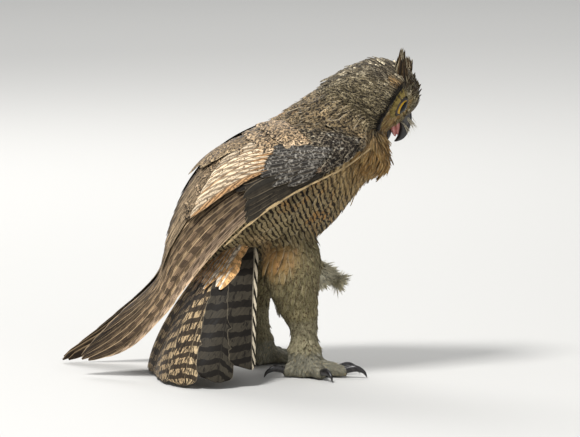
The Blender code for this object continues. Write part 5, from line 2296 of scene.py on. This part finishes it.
@dataclass
class Studio:
    """Floor, light and camera."""

    distance: float = 6.0
    down: float = 6.5  # how far the camera looks down, degrees
    view_width: float = 0.58
    aim: Triple = (0.053, 0.0, 0.153)

    def floor(self) -> None:
        """A plain pale floor, wide enough to fill the view."""
        mesh = bpy.data.meshes.new("floor")
        mesh.from_pydata([(-14, -14, 0), (14, -14, 0), (14, 14, 0), (-14, 14, 0)], [], [(0, 1, 2, 3)])
        floor = bpy.data.objects.new("floor", mesh)
        mesh.materials.append(Ground().material())
        bpy.context.scene.collection.objects.link(floor)
        floor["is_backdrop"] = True

    def lights(self) -> None:
        """A large soft key from above and behind, a fill from the camera's side, and a pale sky."""
        for name, place, target, size, power in (
            ("key", (-0.9, -1.2, 2.8), self.aim, 0.8, 92.0),
            ("fill", (1.6, -2.6, 1.3), self.aim, 2.2, 17.0),
            ("rim", (-0.8, 2.2, 1.8), self.aim, 1.2, 30.0),
            ("backdrop", (0.0, 3.6, 3.4), (0.0, 3.2, 0.0), 3.0, 80.0),
        ):
            light = bpy.data.lights.new(name, "AREA")
            light.size = size
            light.energy = power
            lamp = bpy.data.objects.new(name, light)
            lamp.location = place
            way = Vector(target) - lamp.location
            lamp.rotation_euler = way.to_track_quat("-Z", "Y").to_euler()
            bpy.context.scene.collection.objects.link(lamp)
        world = bpy.data.worlds.new("studio")
        world.use_nodes = True
        world.node_tree.nodes["Background"].inputs[0].default_value = (0.93, 0.96, 1.0, 1.0)
        world.node_tree.nodes["Background"].inputs[1].default_value = 0.36
        bpy.context.scene.world = world
        bpy.context.scene.view_settings.view_transform = "Standard"

    def camera(self) -> None:
        """A long lens at the bird's right side, a little above it."""
        lens = bpy.data.cameras.new("camera")
        lens.sensor_width = 36.0
        lens.lens = 36.0 * self.distance / self.view_width
        lens.clip_end = 100.0
        camera = bpy.data.objects.new("camera", lens)
        down = radians(self.down)
        target = Vector(STANCE.world(np.array(self.aim)))
        camera.location = target + Vector((0, -cos(down), sin(down))) * self.distance
        camera.rotation_euler = (pi / 2 - down, 0, 0)
        bpy.context.scene.collection.objects.link(camera)
        bpy.context.scene.camera = camera

    def build(self) -> None:
        """Sets it all up."""
        self.floor()
        self.lights()
        self.camera()


def corners(bounds: tuple[Vector, Vector]) -> list[list[float]]:
    """A box as plain lists."""
    return [list(bounds[0]), list(bounds[1])]


def plumages() -> dict[str, Material]:
    """Mixes the finishes of all feathers.

    Returns:
        The materials by name.
    """
    flight = Plumage(
        "flight_feathers", wobble=0.3, wobble_scale=120.0, bar_low=0.0, bar_high=0.3, shaft=0.85, shaft_width=0.4,
        barb=0.32, fringe=0.72, fringe_from=0.68, fringe_tint=(0.58, 0.42, 0.245), spread=0.34, woven=True,
        roughness=0.62,
    )
    cover = Plumage(
        "cover_feathers", wobble=0.3, wobble_scale=200.0, bar_low=0.0, bar_high=0.35, shaft=0.55, shaft_width=0.16,
        barb=0.25, fringe=0.3, fringe_from=0.84, fringe_tint=(0.6, 0.47, 0.3), spread=0.32, fleck_scale=430.0,
        roughness=0.66,
    )
    kinds = (
        Plumage("body_feathers", wobble=0.75, wobble_scale=150.0, bar_low=0.05, bar_high=0.45),
        Plumage("head_feathers", wobble_scale=320.0, fleck_scale=560.0, shaft=0.8, shaft_width=0.45, barb=0.4,
                fringe=0.35, spread=0.34),
        Plumage("back_feathers", fleck_scale=430.0, shaft=0.7, shaft_width=0.3, fringe=0.4, spread=0.3),
        Plumage("leg_feathers", fleck_scale=520.0, shaft=0.0, barb=0.22, fringe=0.35),
        Plumage("down", fleck_scale=520.0, shaft=0.0, barb=0.1, fringe=0.0, spread=0.1),
        flight,
        Plumage("tail_feathers", wobble=0.22, wobble_scale=140.0, bar_low=0.0, bar_high=0.3, shaft=0.3, barb=0.3,
                fringe=0.12, fringe_from=0.95, spread=0.3, woven=True, roughness=0.62),
        cover,
    )
    return {kind.name: kind.material() for kind in kinds}


def main() -> None:
    """Builds the owl from the skin outwards, then the studio."""
    logging.basicConfig(level=logging.INFO, format="%(message)s")
    packed = corners(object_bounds())
    plumage = plumages()
    skin = Skin()
    skin.build(plumage["body_feathers"])
    Coat(skin).build(plumage)
    for side in Side:
        Wing(side).build(plumage["flight_feathers"], plumage["cover_feathers"])
    Tail().build(plumage["tail_feathers"], plumage["cover_feathers"])
    for kind in (Tufts, Bristles, EyeRing, RimFeathers, Fluff):
        kind(skin).build(plumage["down"])
    lid = Flesh("lid_skin", (0.03, 0.024, 0.02), (0.06, 0.048, 0.04))
    Eyes().build(EyeGlass().material(), lid.material())
    horn = Horn("bill_horn", (0.016, 0.015, 0.016), (0.06, 0.056, 0.052))
    cere = Flesh("cere_skin", (0.05, 0.047, 0.045), (0.1, 0.095, 0.09))
    tongue = Flesh("tongue_flesh", (0.62, 0.27, 0.24), (0.48, 0.17, 0.16), 0.35)
    Bill().build(horn.material(), cere.material(), tongue.material())
    Claws().build(Horn("claw_horn", (0.012, 0.011, 0.011), (0.05, 0.045, 0.042), 0.26).material())
    Studio().build()
    {"cad_box": packed, "visual_box": corners(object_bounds())}


if __name__ == "__main__":
    main()
